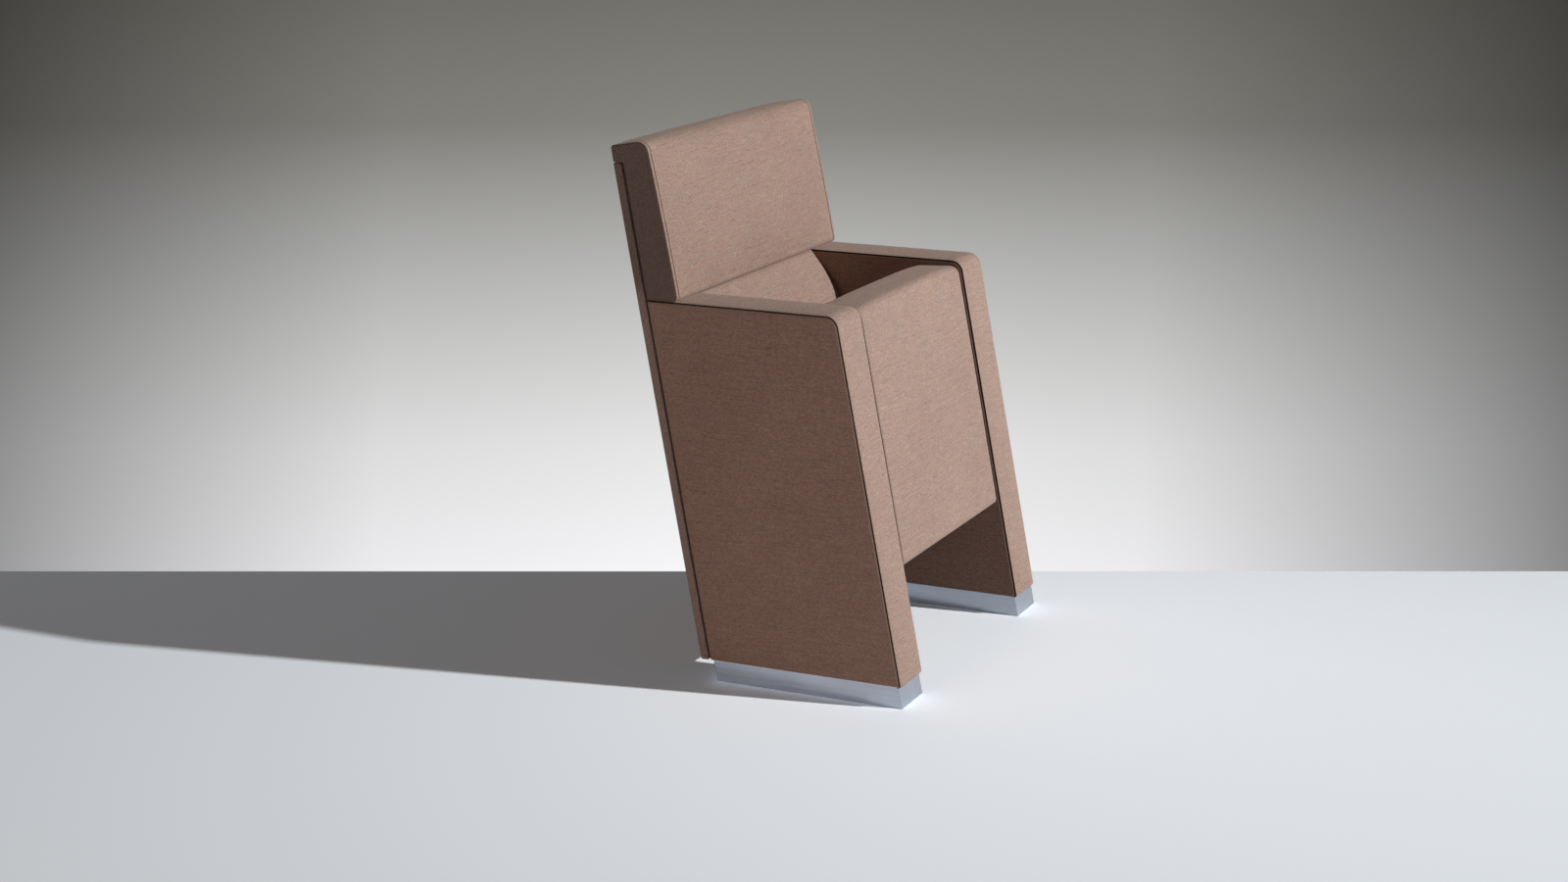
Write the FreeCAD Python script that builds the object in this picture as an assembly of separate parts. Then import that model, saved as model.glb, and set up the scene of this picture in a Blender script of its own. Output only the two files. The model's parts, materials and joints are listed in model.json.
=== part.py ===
"""Tip up auditorium seat, in millimetres.

Two raked side panels stand on plinths and carry the back and the tip-up seat.
The sitter faces -Y, so +X is the sitter's left. Z is up and the floor is z = 0.
The origin is at floor level, in the middle of the four floor anchors.
The seat is modelled stowed, as it rests.
"""
import FreeCAD
import Part
import math
import os

# Overall sizes of the carcass
overall_width = 640.0
side_width = 94.0
base_depth = 344.0
arm_height = 640.0
front_rake = 11.0
rear_rake = 10.5
arm_corner_radius = 22.0

# Values that shape every cushion, and how far a cutting tool runs past what it cuts
loft_steps = 4
end_crown_share = 0.25
least_radius = 0.5
cut_margin = 4.0

# Plinths and base plates
plinth_height = 36.0
plinth_inset = 4.0
plinth_wall = 3.0
plate_thickness = 8.0
plate_clearance = 0.3
plate_end_clearance = 3.0
anchor_spacing = 220.0
anchor_hole_radius = 5.5
anchor_access_radius = 12.0
base_bolt_radius = 4.0
base_bolt_head_radius = 6.5
base_bolt_head_height = 5.0
base_bolt_spread_x = 24.0
base_bolt_spread_y = 170.0

# Upholstery of the sides
pad_thickness = 14.0
side_edge_depth = 3.0
side_edge_reach = 6.0

# Boards and the pressed steel frame inside each side
board_thickness = 8.0
edge_strip_thickness = 6.0
rear_strip_thickness = 8.0
channel_depth = 20.0
sheet = 2.0
mid_post_setback = 120.0
screw_radius = 2.0
screw_head_radius = 4.5
screw_head_height = 2.4
screw_length = 11.0
screw_end_margin = 30.0
screw_hinge_margin = 8.0
hinge_plate_rear_gap = 1.0

# Upper back block
back_face_rake = 12.0
back_depth_at_arm = 58.0
back_front_height = 902.0
back_top_slope = 10.0
back_overhang = 17.0
back_front_radius = 18.0
back_rear_radius = 4.0
back_seam_gap = 0.8
back_edge_depth = 6.0
back_edge_reach = 5.0
back_crown = 4.0
back_board_margin = 24.0

# Lumbar pad
lumbar_bottom_thickness = 31.0
lumbar_knee_drop = 76.0
lumbar_knee_radius = 105.0
lumbar_knee_angle = 38.0
lumbar_hinge_drop = 2.0
lumbar_bottom_radius = 25.0
lumbar_crown = 5.0
lumbar_edge_depth = 9.0
lumbar_edge_reach = 8.0
soft_gap = 0.5

# Rear panel
rear_groove = 5.5
rear_panel_thickness = 12.0
rear_panel_drop = 40.0
rear_board_thickness = 10.0
rear_wrap = 5.0
rear_edge_radius = 3.0
rear_top_radius = 5.0
spacer_radius = 9.0
spacer_offset_x = 150.0

# Back frame and rails
post_width = 42.0
rail_height = 40.0
low_rail_level = 220.0
middle_rail_level = 450.0
high_rail_drop = 40.0
top_rail_drop = 82.0
passage_clearance = 0.5

# Seat
seat_thickness = 85.0
seat_length = 439.0
seat_side_gap = 8.0
seat_bottom_height = 210.0
seat_setback = 7.0
seat_crown = 8.0
seat_under_crown = 1.5
seat_edge_depth = 10.0
seat_edge_reach = 10.0
seat_under_bottom_radius = 8.0
seat_under_top_radius = 12.0
seat_front_radius = 22.0
seat_rear_radius = 15.0
seat_cover_thickness = 6.0
seat_board_thickness = 8.0
seat_board_margin = 10.0
seat_wall = 11.0
seat_plate_gap = 1.0
seat_end_wall = 20.0
seat_plate_thickness = 6.0
seat_plate_height = 32.0
seat_plate_end_gap = 5.0
seat_tube_radius = 11.0
seat_tube_inset = 36.0
strap_width = 30.0
strap_thickness = 2.0
strap_pitch = 50.0
straps_per_half = 3
first_strap_offset = 40.0
seat_screw_pitch = 100.0
seat_screws_per_tube = 4

# Hinge
pivot_along_seat = 200.0
pivot_above_underside = 50.0
seat_travel = 96.0
shaft_radius = 8.0
running_clearance = 0.05
bush_wall = 3.0
bush_flange = 3.0
bush_flange_thickness = 2.0
boss_wall = 4.0
boss_length = 14.0
hinge_plate_thickness = 6.0
hinge_plate_below = 64.0
hinge_plate_above = 62.0
hinge_plate_front_setback = 21.0
cutout_clearance = 1.0
shaft_pad_clearance = 2.0
ear_radius = 20.0
ear_clearance = 1.0
washer_radius = 13.0
washer_clearance = 0.3
shaft_inner_length = 8.0
shaft_outer_length = 34.0

# Stops and return spring, on the shaft inside each side
stop_arm_rest_angle = -60.0
stop_arm_length = 56.0
stop_arm_width = 16.0
stop_arm_thickness = 12.0
stop_arm_hub_radius = 14.0
stop_arm_gap = 2.0
buffer_radius = 6.0
buffer_length = 12.0
buffer_reach = 44.0
buffer_gap = 0.3
lug_thickness = 4.0
lug_length = 16.0
spring_wire_radius = 1.5
spring_shaft_gap = 0.3
spring_pitch = 3.6
spring_turns = 4
spring_leg = 26.0
spring_side_gap = 2.0

# Values that follow from the sizes above
half_width = overall_width / 2
side_mid_x = half_width - side_width / 2
side_inner_x = half_width - side_width
outer_board_x = half_width - pad_thickness
frame_outer_x = outer_board_x - board_thickness
inner_board_x = side_inner_x + pad_thickness
frame_inner_x = inner_board_x + board_thickness
strip_inset = pad_thickness
frame_inset = pad_thickness + edge_strip_thickness
frame_rear_inset = rear_strip_thickness
rail_rear_inset = frame_rear_inset + sheet
rail_front_inset = frame_rear_inset + channel_depth
back_board_inset = rail_front_inset + board_thickness
seat_half_width = side_inner_x - seat_side_gap
lug_outer_x = frame_inner_x + boss_length + stop_arm_gap + stop_arm_thickness + spring_side_gap * 2
rear_panel_height = back_front_height - rear_panel_drop
rail_levels = (low_rail_level, middle_rail_level, arm_height - high_rail_drop)
top_rail_level = back_front_height - top_rail_drop


def vec(x, y, z):
    return FreeCAD.Vector(x, y, z)


def slope(angle):
    return math.tan(math.radians(angle))


def front_y(z):
    """The raked front plane of the sides."""
    return -base_depth / 2 + z * slope(front_rake)


def rear_y(z):
    """The raked rear plane of the sides."""
    return base_depth / 2 + z * slope(rear_rake)


def back_face_y(z):
    """The raked front face of the upper back."""
    return rear_y(arm_height) - back_depth_at_arm + (z - arm_height) * slope(back_face_rake)


def box(x0, x1, y0, y1, z0, z1):
    return Part.makeBox(x1 - x0, y1 - y0, z1 - z0, vec(x0, y0, z0))


def rod(radius, x0, x1, y, z):
    """A cylinder along X."""
    return Part.makeCylinder(radius, x1 - x0, vec(x0, y, z), vec(1, 0, 0))


def prism(points, x0, x1):
    """A straight solid along X over a polygon of (y, z) points."""
    corners = [vec(x0, y, z) for y, z in points]
    face = Part.Face(Part.makePolygon(corners + corners[:1]))
    return face.extrude(vec(x1 - x0, 0, 0))


def mirrored(shape):
    return shape.mirror(vec(0, 0, 0), vec(1, 0, 0))


# Outlines in the YZ plane, with rounded corners and crowned sides

def unit(a, b):
    dy = b[0] - a[0]
    dz = b[1] - a[1]
    length = math.hypot(dy, dz)
    return dy / length, dz / length


def turn_sign(points):
    """Plus one for a counterclockwise outline, minus one for a clockwise one."""
    area = 0.0
    for (y0, z0), (y1, z1) in zip(points, points[1:] + points[:1]):
        area += y0 * z1 - y1 * z0
    return math.copysign(1.0, area)


def meet(p, d, q, e):
    """Where the line p + t d meets the line q + s e."""
    cross = d[0] * e[1] - d[1] * e[0]
    t = ((q[0] - p[0]) * e[1] - (q[1] - p[1]) * e[0]) / cross
    return p[0] + t * d[0], p[1] + t * d[1]


def inset_outline(points, insets):
    """Move side i, from point i to the next, inward by insets[i]."""
    sign = turn_sign(points)
    sides = []
    for i, p in enumerate(points):
        d = unit(p, points[(i + 1) % len(points)])
        moved = (p[0] - sign * d[1] * insets[i], p[1] + sign * d[0] * insets[i])
        sides.append((moved, d))
    return [meet(*sides[i - 1], *sides[i]) for i in range(len(points))]


def section(points, radii, bulges, x):
    """A closed wire at one x: rounded corners, and sides that bulge outward by bulges[i]."""
    sign = turn_sign(points)
    corners = []
    for i, p in enumerate(points):
        to_last = unit(p, points[i - 1])
        to_next = unit(p, points[(i + 1) % len(points)])
        if not radii[i]:
            corners.append((p, None, p))
            continue
        half = math.acos(to_last[0] * to_next[0] + to_last[1] * to_next[1]) / 2
        reach = radii[i] / math.tan(half)
        enter = (p[0] + reach * to_last[0], p[1] + reach * to_last[1])
        leave = (p[0] + reach * to_next[0], p[1] + reach * to_next[1])
        middle = ((enter[0] + leave[0]) / 2, (enter[1] + leave[1]) / 2)
        inward = unit(p, middle)
        depth = radii[i] / math.sin(half) - radii[i]
        corners.append((enter, (p[0] + depth * inward[0], p[1] + depth * inward[1]), leave))
    edges = []
    for i, (enter, middle, leave) in enumerate(corners):
        if middle:
            arc = Part.Arc(vec(x, *enter), vec(x, *middle), vec(x, *leave))
            edges.append(arc.toShape())
        goal = corners[(i + 1) % len(corners)][0]
        if bulges[i]:
            d = unit(leave, goal)
            top = ((leave[0] + goal[0]) / 2 + sign * d[1] * bulges[i],
                   (leave[1] + goal[1]) / 2 - sign * d[0] * bulges[i])
            edges.append(Part.Arc(vec(x, *leave), vec(x, *top), vec(x, *goal)).toShape())
        else:
            edges.append(Part.makeLine(vec(x, *leave), vec(x, *goal)))
    return Part.Wire(edges)


def drawn_in(radius, inset):
    """A corner radius that shrinks with the inset and never reaches zero."""
    return max(radius - inset, least_radius) if radius else 0.0


def pad(points, radii, crowns, eased, x_mid, half, edge_depth, edge_reach):
    """A cushion lofted along X.

    Each section is the outline, with sides that crown most at mid width. Over the last
    edge_depth at both ends the sides marked in eased draw in by edge_reach on a quarter ellipse.
    """
    ends = []
    for k in range(loft_steps + 1):
        angle = math.pi / 2 * k / loft_steps
        ends.append((half - edge_depth * (1 - math.cos(angle)), edge_reach * (1 - math.sin(angle))))
    flat = half - edge_depth
    inner = [(flat * (loft_steps - k) / loft_steps, 0.0) for k in range(1, loft_steps)]
    one_side = ends + inner
    places = [(-x, inset) for x, inset in one_side] + [(0.0, 0.0)]
    places += [(x, inset) for x, inset in reversed(one_side)]
    wires = []
    for x, inset in places:
        outline = inset_outline(points, [inset * ease for ease in eased])
        fullness = 1 - (x / half) ** 2
        share = end_crown_share + (1 - end_crown_share) * fullness
        bulges = [crown * share for crown in crowns]
        corner_radii = [drawn_in(radius, inset) for radius in radii]
        wires.append(section(outline, corner_radii, bulges, x_mid + x))
    return Part.makeLoft(wires, True, True)


# Side panels, built for the sitter's left and mirrored for the right

def side_points(front=0.0, top=0.0, rear=0.0, bottom=plinth_height):
    """The side's four corners: front foot, front top, rear top and rear foot."""
    high = arm_height - top
    return [(front_y(bottom) + front, bottom), (front_y(high) + front, high),
            (rear_y(high) - rear, high), (rear_y(bottom) - rear, bottom)]


def side_wire(inset, x, overrun=0.0):
    """The side's outline with front and top moved in, and rear and foot run past by overrun."""
    points = side_points(inset, inset, -overrun, plinth_height - overrun)
    return section(points, [0.0, drawn_in(arm_corner_radius, inset), 0.0, 0.0], [0.0] * 4, x)


def side_plate(inset, x0, x1):
    return Part.Face(side_wire(inset, x0)).extrude(vec(x1 - x0, 0, 0))


def side_envelope():
    return pad(side_points(), [0.0, arm_corner_radius, 0.0, 0.0], [0.0] * 4, [1, 1, 0, 0],
               side_mid_x, side_width / 2, side_edge_depth, side_edge_reach)


def mitred_core(x_deep, x_skin):
    """The solid under the arm band's mitre, from pad depth out past the side's skin."""
    past = math.copysign(cut_margin, x_skin - x_deep)
    wires = [side_wire(pad_thickness, x_deep, cut_margin),
             side_wire(-cut_margin, x_skin + past, cut_margin)]
    return Part.makeLoft(wires, True, True)


def outer_pad():
    return side_envelope().common(mitred_core(outer_board_x, half_width))


def pivot():
    """The hinge axis as (y, z)."""
    point = place_on_seat(Part.Vertex(0, pivot_above_underside, pivot_along_seat)).Point
    return point.y, point.z


def inner_pad():
    y, z = pivot()
    shape = side_envelope().common(mitred_core(inner_board_x, side_inner_x))
    shape = shape.cut(rod(shaft_radius + shaft_pad_clearance, side_inner_x - cut_margin,
                          inner_board_x + cut_margin, y, z))
    return cut_rails(shape)


def arm_band():
    core = mitred_core(outer_board_x, half_width)
    core = core.fuse(mitred_core(inner_board_x, side_inner_x))
    middle = Part.Face(side_wire(pad_thickness, inner_board_x, cut_margin))
    core = core.fuse(middle.extrude(vec(outer_board_x - inner_board_x, 0, 0)))
    return side_envelope().cut(core).cut(post_passage())


def outer_board():
    shape = side_plate(strip_inset, frame_outer_x, outer_board_x)
    for y, z in board_screw_points():
        shape = shape.cut(board_screw(y, z, outer_board_x, -1))
    return shape


def inner_board():
    shape = side_plate(strip_inset, inner_board_x, frame_inner_x)
    for y, z in board_screw_points():
        shape = shape.cut(board_screw(y, z, inner_board_x, 1))
    shape = shape.cut(prism(hinge_plate_points(cutout_clearance), inner_board_x - cut_margin,
                            frame_inner_x + cut_margin))
    return cut_rails(shape)


def edge_strip():
    """Bent strip under the arm band, along the frame's front and top."""
    points = side_points(frame_inset, frame_inset, -cut_margin, plinth_height - cut_margin)
    shape = side_plate(strip_inset, frame_inner_x, frame_outer_x)
    return shape.cut(prism(points, frame_inner_x, frame_outer_x)).cut(post_passage())


def rear_slab(x0, x1, near, far, z0, z1):
    """A slab parallel to the rear plane, from near to far in front of it."""
    points = [(rear_y(z0) - far, z0), (rear_y(z0) - near, z0),
              (rear_y(z1) - near, z1), (rear_y(z1) - far, z1)]
    return prism(points, x0, x1)


def rear_strip():
    top = arm_height - frame_inset
    return rear_slab(frame_inner_x, frame_outer_x, 0.0, rear_strip_thickness, plinth_height, top)


def front_slab(x0, x1, near, far, z0, z1):
    """A slab parallel to the front plane, from near to far behind it."""
    points = [(front_y(z0) + near, z0), (front_y(z0) + far, z0),
              (front_y(z1) + far, z1), (front_y(z1) + near, z1)]
    return prism(points, x0, x1)


def side_frame():
    """A ring of pressed channel, open towards its middle, with an upright behind the hinge."""
    x0, x1 = frame_inner_x, frame_outer_x
    floor = plate_thickness
    ring = prism(side_points(frame_inset, frame_inset, frame_rear_inset, floor), x0, x1)
    hollow = side_points(frame_inset + channel_depth, frame_inset + channel_depth,
                         frame_rear_inset + channel_depth, floor + channel_depth)
    channel = side_points(frame_inset + sheet, frame_inset + sheet, frame_rear_inset + sheet,
                          floor + sheet)
    ring = ring.cut(prism(hollow, x0, x1)).cut(prism(channel, x0 + sheet, x1 - sheet))
    z0, z1 = floor + sheet, arm_height - frame_inset - sheet
    far = mid_post_setback + channel_depth
    upright = front_slab(x0, x1, mid_post_setback, far, z0, z1)
    upright = upright.cut(front_slab(x0 + sheet, x1 - sheet, mid_post_setback + sheet,
                                     far + cut_margin, z0, z1))
    shape = ring.fuse(upright).removeSplitter()
    for y in (-anchor_spacing / 2, anchor_spacing / 2):
        foot = vec(side_mid_x, y, floor - cut_margin)
        shape = shape.cut(Part.makeCylinder(anchor_access_radius, channel_depth, foot))
    for bolt in base_bolts():
        shape = shape.cut(bolt)
    for y, z in board_screw_points():
        shape = shape.cut(board_screw(y, z, outer_board_x, -1))
        shape = shape.cut(board_screw(y, z, inner_board_x, 1))
    return shape.cut(post_passage())


def board_screw_points():
    """Screw places on the front and rear uprights of the frame, as (y, z)."""
    low = plinth_height + channel_depth
    middle = pivot()[1] - hinge_plate_below - screw_hinge_margin
    high = arm_height - frame_inset - screw_end_margin
    points = []
    for z in (low, middle, high):
        points.append((front_y(z) + frame_inset + channel_depth / 2, z))
        points.append((rear_y(z) - frame_rear_inset - channel_depth / 2, z))
    return points


def board_screw(y, z, x, way):
    """A countersunk screw that goes in from a board's face at x, along way."""
    axis = vec(way, 0, 0)
    head = Part.makeCylinder(screw_head_radius, screw_head_height, vec(x, y, z), axis)
    return head.fuse(Part.makeCylinder(screw_radius, screw_length, vec(x, y, z), axis))


def board_screws():
    screws = [board_screw(y, z, outer_board_x, -1) for y, z in board_screw_points()]
    screws += [board_screw(y, z, inner_board_x, 1) for y, z in board_screw_points()]
    return Part.makeCompound(screws)


def base_bolts():
    bolts = []
    top = plate_thickness + sheet
    for dx in (-base_bolt_spread_x / 2, base_bolt_spread_x / 2):
        for y in (-base_bolt_spread_y / 2, base_bolt_spread_y / 2):
            place = vec(side_mid_x + dx, y, 0)
            shank = Part.makeCylinder(base_bolt_radius, top, place)
            head = Part.makeCylinder(base_bolt_head_radius, base_bolt_head_height, place + vec(0, 0, top))
            bolts.append(shank.fuse(head))
    return bolts


def base_plate():
    inner = plinth_inset + plinth_wall + plate_clearance
    reach = base_depth / 2 - plinth_inset - plinth_wall - plate_end_clearance
    shape = box(side_inner_x + inner, half_width - inner, -reach, reach, 0, plate_thickness)
    for y in (-anchor_spacing / 2, anchor_spacing / 2):
        shape = shape.cut(Part.makeCylinder(anchor_hole_radius, plate_thickness, vec(side_mid_x, y, 0)))
    for bolt in base_bolts():
        shape = shape.cut(bolt)
    return shape


def plinth():
    """A raked aluminium skirt around the base plate."""
    def skirt(inset):
        points = [(front_y(0) + inset, 0), (front_y(plinth_height) + inset, plinth_height),
                  (rear_y(plinth_height) - inset, plinth_height), (rear_y(0) - inset, 0)]
        return prism(points, side_inner_x + inset, half_width - inset)
    return skirt(plinth_inset).cut(skirt(plinth_inset + plinth_wall))


# Hinge, stops and spring inside each side

def hinge_plate_points(grow=0.0):
    y, z = pivot()
    z0 = z - hinge_plate_below - grow
    z1 = z + hinge_plate_above + grow
    near = hinge_plate_front_setback - grow
    far = mid_post_setback + channel_depth - hinge_plate_rear_gap + grow
    return [(front_y(z0) + near, z0), (front_y(z0) + far, z0),
            (front_y(z1) + far, z1), (front_y(z1) + near, z1)]


def turned(shape, angle):
    """Turn a shape built around the origin, and move it to the hinge axis."""
    y, z = pivot()
    shape = shape.copy()
    shape.rotate(vec(0, 0, 0), vec(1, 0, 0), angle)
    shape.translate(vec(0, y, z))
    return shape


def stop_arm_x():
    x0 = frame_inner_x + boss_length + stop_arm_gap
    return x0, x0 + stop_arm_thickness


def stop_lug(way):
    """The steel lug behind a buffer; way is -1 for the stowed stop and 1 for the lowered one."""
    near = stop_arm_width / 2 + buffer_gap + buffer_length
    z0, z1 = sorted((way * near, way * (near + lug_thickness)))
    return box(frame_inner_x, lug_outer_x, buffer_reach - lug_length / 2,
               buffer_reach + lug_length / 2, z0, z1)


def stop_buffer(way):
    near = stop_arm_width / 2 + buffer_gap
    x = sum(stop_arm_x()) / 2
    return Part.makeCylinder(buffer_radius, buffer_length, vec(x, buffer_reach, way * near), vec(0, 0, way))


def stop_buffers():
    return Part.makeCompound([turned(stop_buffer(-1), stop_arm_rest_angle),
                              turned(stop_buffer(1), stop_arm_rest_angle + seat_travel)])


def bush_radius():
    return shaft_radius + running_clearance + bush_wall


def hinge_plate():
    y, z = pivot()
    x0 = frame_inner_x - hinge_plate_thickness
    shape = prism(hinge_plate_points(), x0, frame_inner_x)
    shape = shape.fuse(rod(bush_radius() + boss_wall, x0, frame_inner_x + boss_length, y, z))
    shape = shape.fuse(turned(stop_lug(-1), stop_arm_rest_angle))
    shape = shape.fuse(turned(stop_lug(1), stop_arm_rest_angle + seat_travel))
    return shape.cut(rod(bush_radius(), x0 - cut_margin, frame_inner_x + boss_length + cut_margin, y, z))


def hinge_bush():
    y, z = pivot()
    x0 = frame_inner_x - hinge_plate_thickness
    x1 = frame_inner_x + boss_length
    shape = rod(bush_radius(), x0 - bush_flange_thickness, x1, y, z)
    shape = shape.fuse(rod(bush_radius() + bush_flange, x0 - bush_flange_thickness, x0, y, z))
    return shape.cut(rod(shaft_radius + running_clearance, x0 - cut_margin, x1 + cut_margin, y, z))


def hinge_shaft():
    y, z = pivot()
    inner = seat_plate_x()[0] - shaft_inner_length
    return rod(shaft_radius, inner, frame_inner_x + boss_length + shaft_outer_length, y, z)


def hinge_washer():
    y, z = pivot()
    x0 = seat_half_width + washer_clearance
    x1 = side_inner_x - washer_clearance
    return rod(washer_radius, x0, x1, y, z).cut(rod(shaft_radius, x0, x1, y, z))


def stop_arm():
    x0, x1 = stop_arm_x()
    arm = box(x0, x1, 0, stop_arm_length, -stop_arm_width / 2, stop_arm_width / 2)
    arm = arm.fuse(rod(stop_arm_hub_radius, x0, x1, 0, 0)).cut(rod(shaft_radius, x0, x1, 0, 0))
    return turned(arm.removeSplitter(), stop_arm_rest_angle)


def return_spring():
    """A torsion coil round the shaft: quarter-turn arcs on a steady helix, and two straight legs."""
    radius = shaft_radius + spring_shaft_gap + spring_wire_radius
    start_x = stop_arm_x()[1] + spring_side_gap + spring_wire_radius

    def on_helix(turn):
        angle = 2 * math.pi * turn
        return vec(start_x + spring_pitch * turn, radius * math.cos(angle), radius * math.sin(angle))

    quarters = spring_turns * 4
    first, last = on_helix(0), on_helix(spring_turns)
    edges = [Part.makeLine(first - vec(0, 0, spring_leg), first)]
    for k in range(quarters):
        points = [on_helix((k + step) / 4) for step in (0, 0.5, 1)]
        edges.append(Part.Arc(*points).toShape())
    edges.append(Part.makeLine(last, last + vec(0, 0, spring_leg)))
    path = Part.Wire(edges)
    circle = Part.Wire(Part.makeCircle(spring_wire_radius, first - vec(0, 0, spring_leg), vec(0, 0, 1)))
    return turned(path.makePipeShell([circle], True, False), 0)


# Back

def post_x():
    return side_mid_x - post_width / 2, side_mid_x + post_width / 2


def post_passage():
    """The way through the top of a side for a back post."""
    x0, x1 = post_x()
    gap = passage_clearance
    low = arm_height - frame_inset - channel_depth
    return rear_slab(x0 - gap, x1 + gap, rail_rear_inset, rail_front_inset + gap, low,
                     arm_height + cut_margin)


def on_rear_plane(shape):
    """Tilt a shape so that its XZ plane lies on the rear plane, with -Y in front of it."""
    shape = shape.copy()
    shape.rotate(vec(0, 0, 0), vec(1, 0, 0), -rear_rake)
    shape.translate(vec(0, base_depth / 2, 0))
    return shape


def rail_depths():
    lean = math.cos(math.radians(rear_rake))
    return rail_rear_inset * lean, rail_front_inset * lean


def rail_box(x0, x1, level, grow=0.0):
    """A rail's outer box at a height, along the rear plane."""
    near, far = rail_depths()
    along = level / math.cos(math.radians(rear_rake))
    low = along - rail_height / 2 - grow
    high = along + rail_height / 2 + grow
    return on_rear_plane(box(x0, x1, -far - grow, -near + grow, low, high))


def rail(x0, x1, level):
    """A rectangular tube, open at both ends."""
    return rail_box(x0, x1, level).cut(rail_box(x0 - cut_margin, x1 + cut_margin, level, -sheet))


def cut_rails(shape):
    for level in rail_levels:
        shape = shape.cut(rail_box(side_inner_x - cut_margin, frame_inner_x + cut_margin, level,
                                   passage_clearance))
    return shape


def back_frame():
    """Two hollow posts from the middle rail's level up through the sides, with a rail across their tops."""
    top = back_board_top()
    foot = middle_rail_level
    x0, x1 = post_x()
    post = rear_slab(x0, x1, rail_rear_inset, rail_front_inset, foot, top)
    hollow = rear_slab(x0 + sheet, x1 - sheet, rail_rear_inset + sheet, rail_front_inset - sheet,
                       foot - cut_margin, top + cut_margin)
    post = post.cut(hollow)
    return rail(-x0, x0, top_rail_level).fuse([post, mirrored(post)])


def back_board_top():
    return rear_panel_height - pad_thickness + board_thickness


def upper_back_outline():
    bottom = arm_height + back_seam_gap
    lip = rear_panel_height + 2 * back_seam_gap
    front_top = (back_face_y(back_front_height), back_front_height)
    falling = (math.cos(math.radians(back_top_slope)), -math.sin(math.radians(back_top_slope)))
    rising = (math.sin(math.radians(rear_rake)), math.cos(math.radians(rear_rake)))
    rear_top = meet(front_top, falling, (rear_y(0) + back_overhang, 0), rising)
    return [(back_face_y(bottom), bottom), front_top, rear_top, (rear_y(lip) + back_overhang, lip),
            (rear_y(lip), lip), (rear_y(bottom), bottom)]


def upper_back_pad():
    radii = [0.0, back_front_radius, back_rear_radius, 0.0, 0.0, 0.0]
    crowns = [back_crown, 0.0, 0.0, 0.0, 0.0, 0.0]
    shape = pad(upper_back_outline(), radii, crowns, [1, 1, 1, 0, 0, 0], 0, half_width,
                back_edge_depth, back_edge_reach)
    reach = half_width - back_board_margin
    pocket = rear_slab(-reach, reach, -cut_margin, back_board_inset, arm_height - cut_margin,
                       back_board_top())
    return shape.cut(pocket)


def upper_back_board():
    reach = half_width - back_board_margin
    return rear_slab(-reach, reach, rail_front_inset, back_board_inset,
                     arm_height + back_seam_gap, back_board_top())


def lumbar_bottom():
    return pivot()[1] - lumbar_hinge_drop


def lumbar_outline():
    top, bottom = arm_height, lumbar_bottom()
    back = rear_y(bottom) - back_board_inset
    face = back - lumbar_bottom_thickness
    knee = (face, top - lumbar_knee_drop)
    top_front = (face + lumbar_knee_drop * slope(lumbar_knee_angle), top)
    return [(face, bottom), knee, top_front, (rear_y(top) - back_board_inset, top), (back, bottom)]


def lumbar_pad():
    radii = [lumbar_bottom_radius, lumbar_knee_radius, 0.0, 0.0, 0.0]
    crowns = [lumbar_crown, lumbar_crown / 2, 0.0, 0.0, 0.0]
    return pad(lumbar_outline(), radii, crowns, [1, 1, 0, 0, 1], 0, side_inner_x - soft_gap,
               lumbar_edge_depth, lumbar_edge_reach)


def lumbar_board():
    reach = side_inner_x - soft_gap
    return rear_slab(-reach, reach, rail_front_inset, back_board_inset,
                     lumbar_bottom(), arm_height - soft_gap)


def rear_board():
    reach = half_width - rear_wrap
    return rear_slab(-reach, reach, -rear_groove - rear_board_thickness, -rear_groove,
                     plinth_height + rear_wrap, rear_panel_height - rear_wrap)


def rear_cover():
    near, far = rear_groove, rear_groove + rear_panel_thickness
    low, high = plinth_height, rear_panel_height
    points = [(rear_y(low) + near, low), (rear_y(high) + near, high),
              (rear_y(high) + far, high), (rear_y(low) + far, low)]
    radii = [0.0, rear_top_radius, rear_edge_radius, rear_edge_radius]
    shape = pad(points, radii, [0.0] * 4, [0, 1, 1, 1], 0, half_width,
                rear_edge_radius, rear_edge_radius / 2)
    return shape.cut(rear_board())


def panel_spacers():
    near = rail_depths()[0]
    length = near + rear_groove * math.cos(math.radians(rear_rake))
    spacers = []
    for level in rail_levels + (top_rail_level,):
        along = level / math.cos(math.radians(rear_rake))
        for x in (-spacer_offset_x, spacer_offset_x):
            spacer = Part.makeCylinder(spacer_radius, length, vec(x, -near, along), vec(0, 1, 0))
            spacers.append(on_rear_plane(spacer))
    return Part.makeCompound(spacers)


# Seat, built with its underside on the XZ plane and its rear end at the bottom

def place_on_seat(shape):
    """Tilt a seat piece to the front rake and set it in the carcass."""
    shape = shape.copy()
    shape.rotate(vec(0, 0, 0), vec(1, 0, 0), -front_rake)
    shape.translate(vec(0, front_y(seat_bottom_height) + seat_setback, seat_bottom_height))
    return shape


def seat_envelope():
    points = [(0.0, 0.0), (0.0, seat_length), (seat_thickness, seat_length), (seat_thickness, 0.0)]
    radii = [seat_under_bottom_radius, seat_under_top_radius, seat_front_radius, seat_rear_radius]
    return pad(points, radii, [seat_under_crown, 0.0, seat_crown, 0.0], [1, 1, 1, 1], 0,
               seat_half_width, seat_edge_depth, seat_edge_reach)


def seat_deck():
    """Height of the board's upper face over the underside."""
    return seat_cover_thickness + seat_board_thickness


def seat_plate_x():
    x1 = seat_half_width - seat_wall - seat_plate_gap
    return x1 - seat_plate_thickness, x1


def seat_board_box():
    reach = seat_half_width - seat_board_margin
    return box(-reach, reach, seat_cover_thickness, seat_deck(),
               seat_board_margin, seat_length - seat_board_margin)


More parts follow.
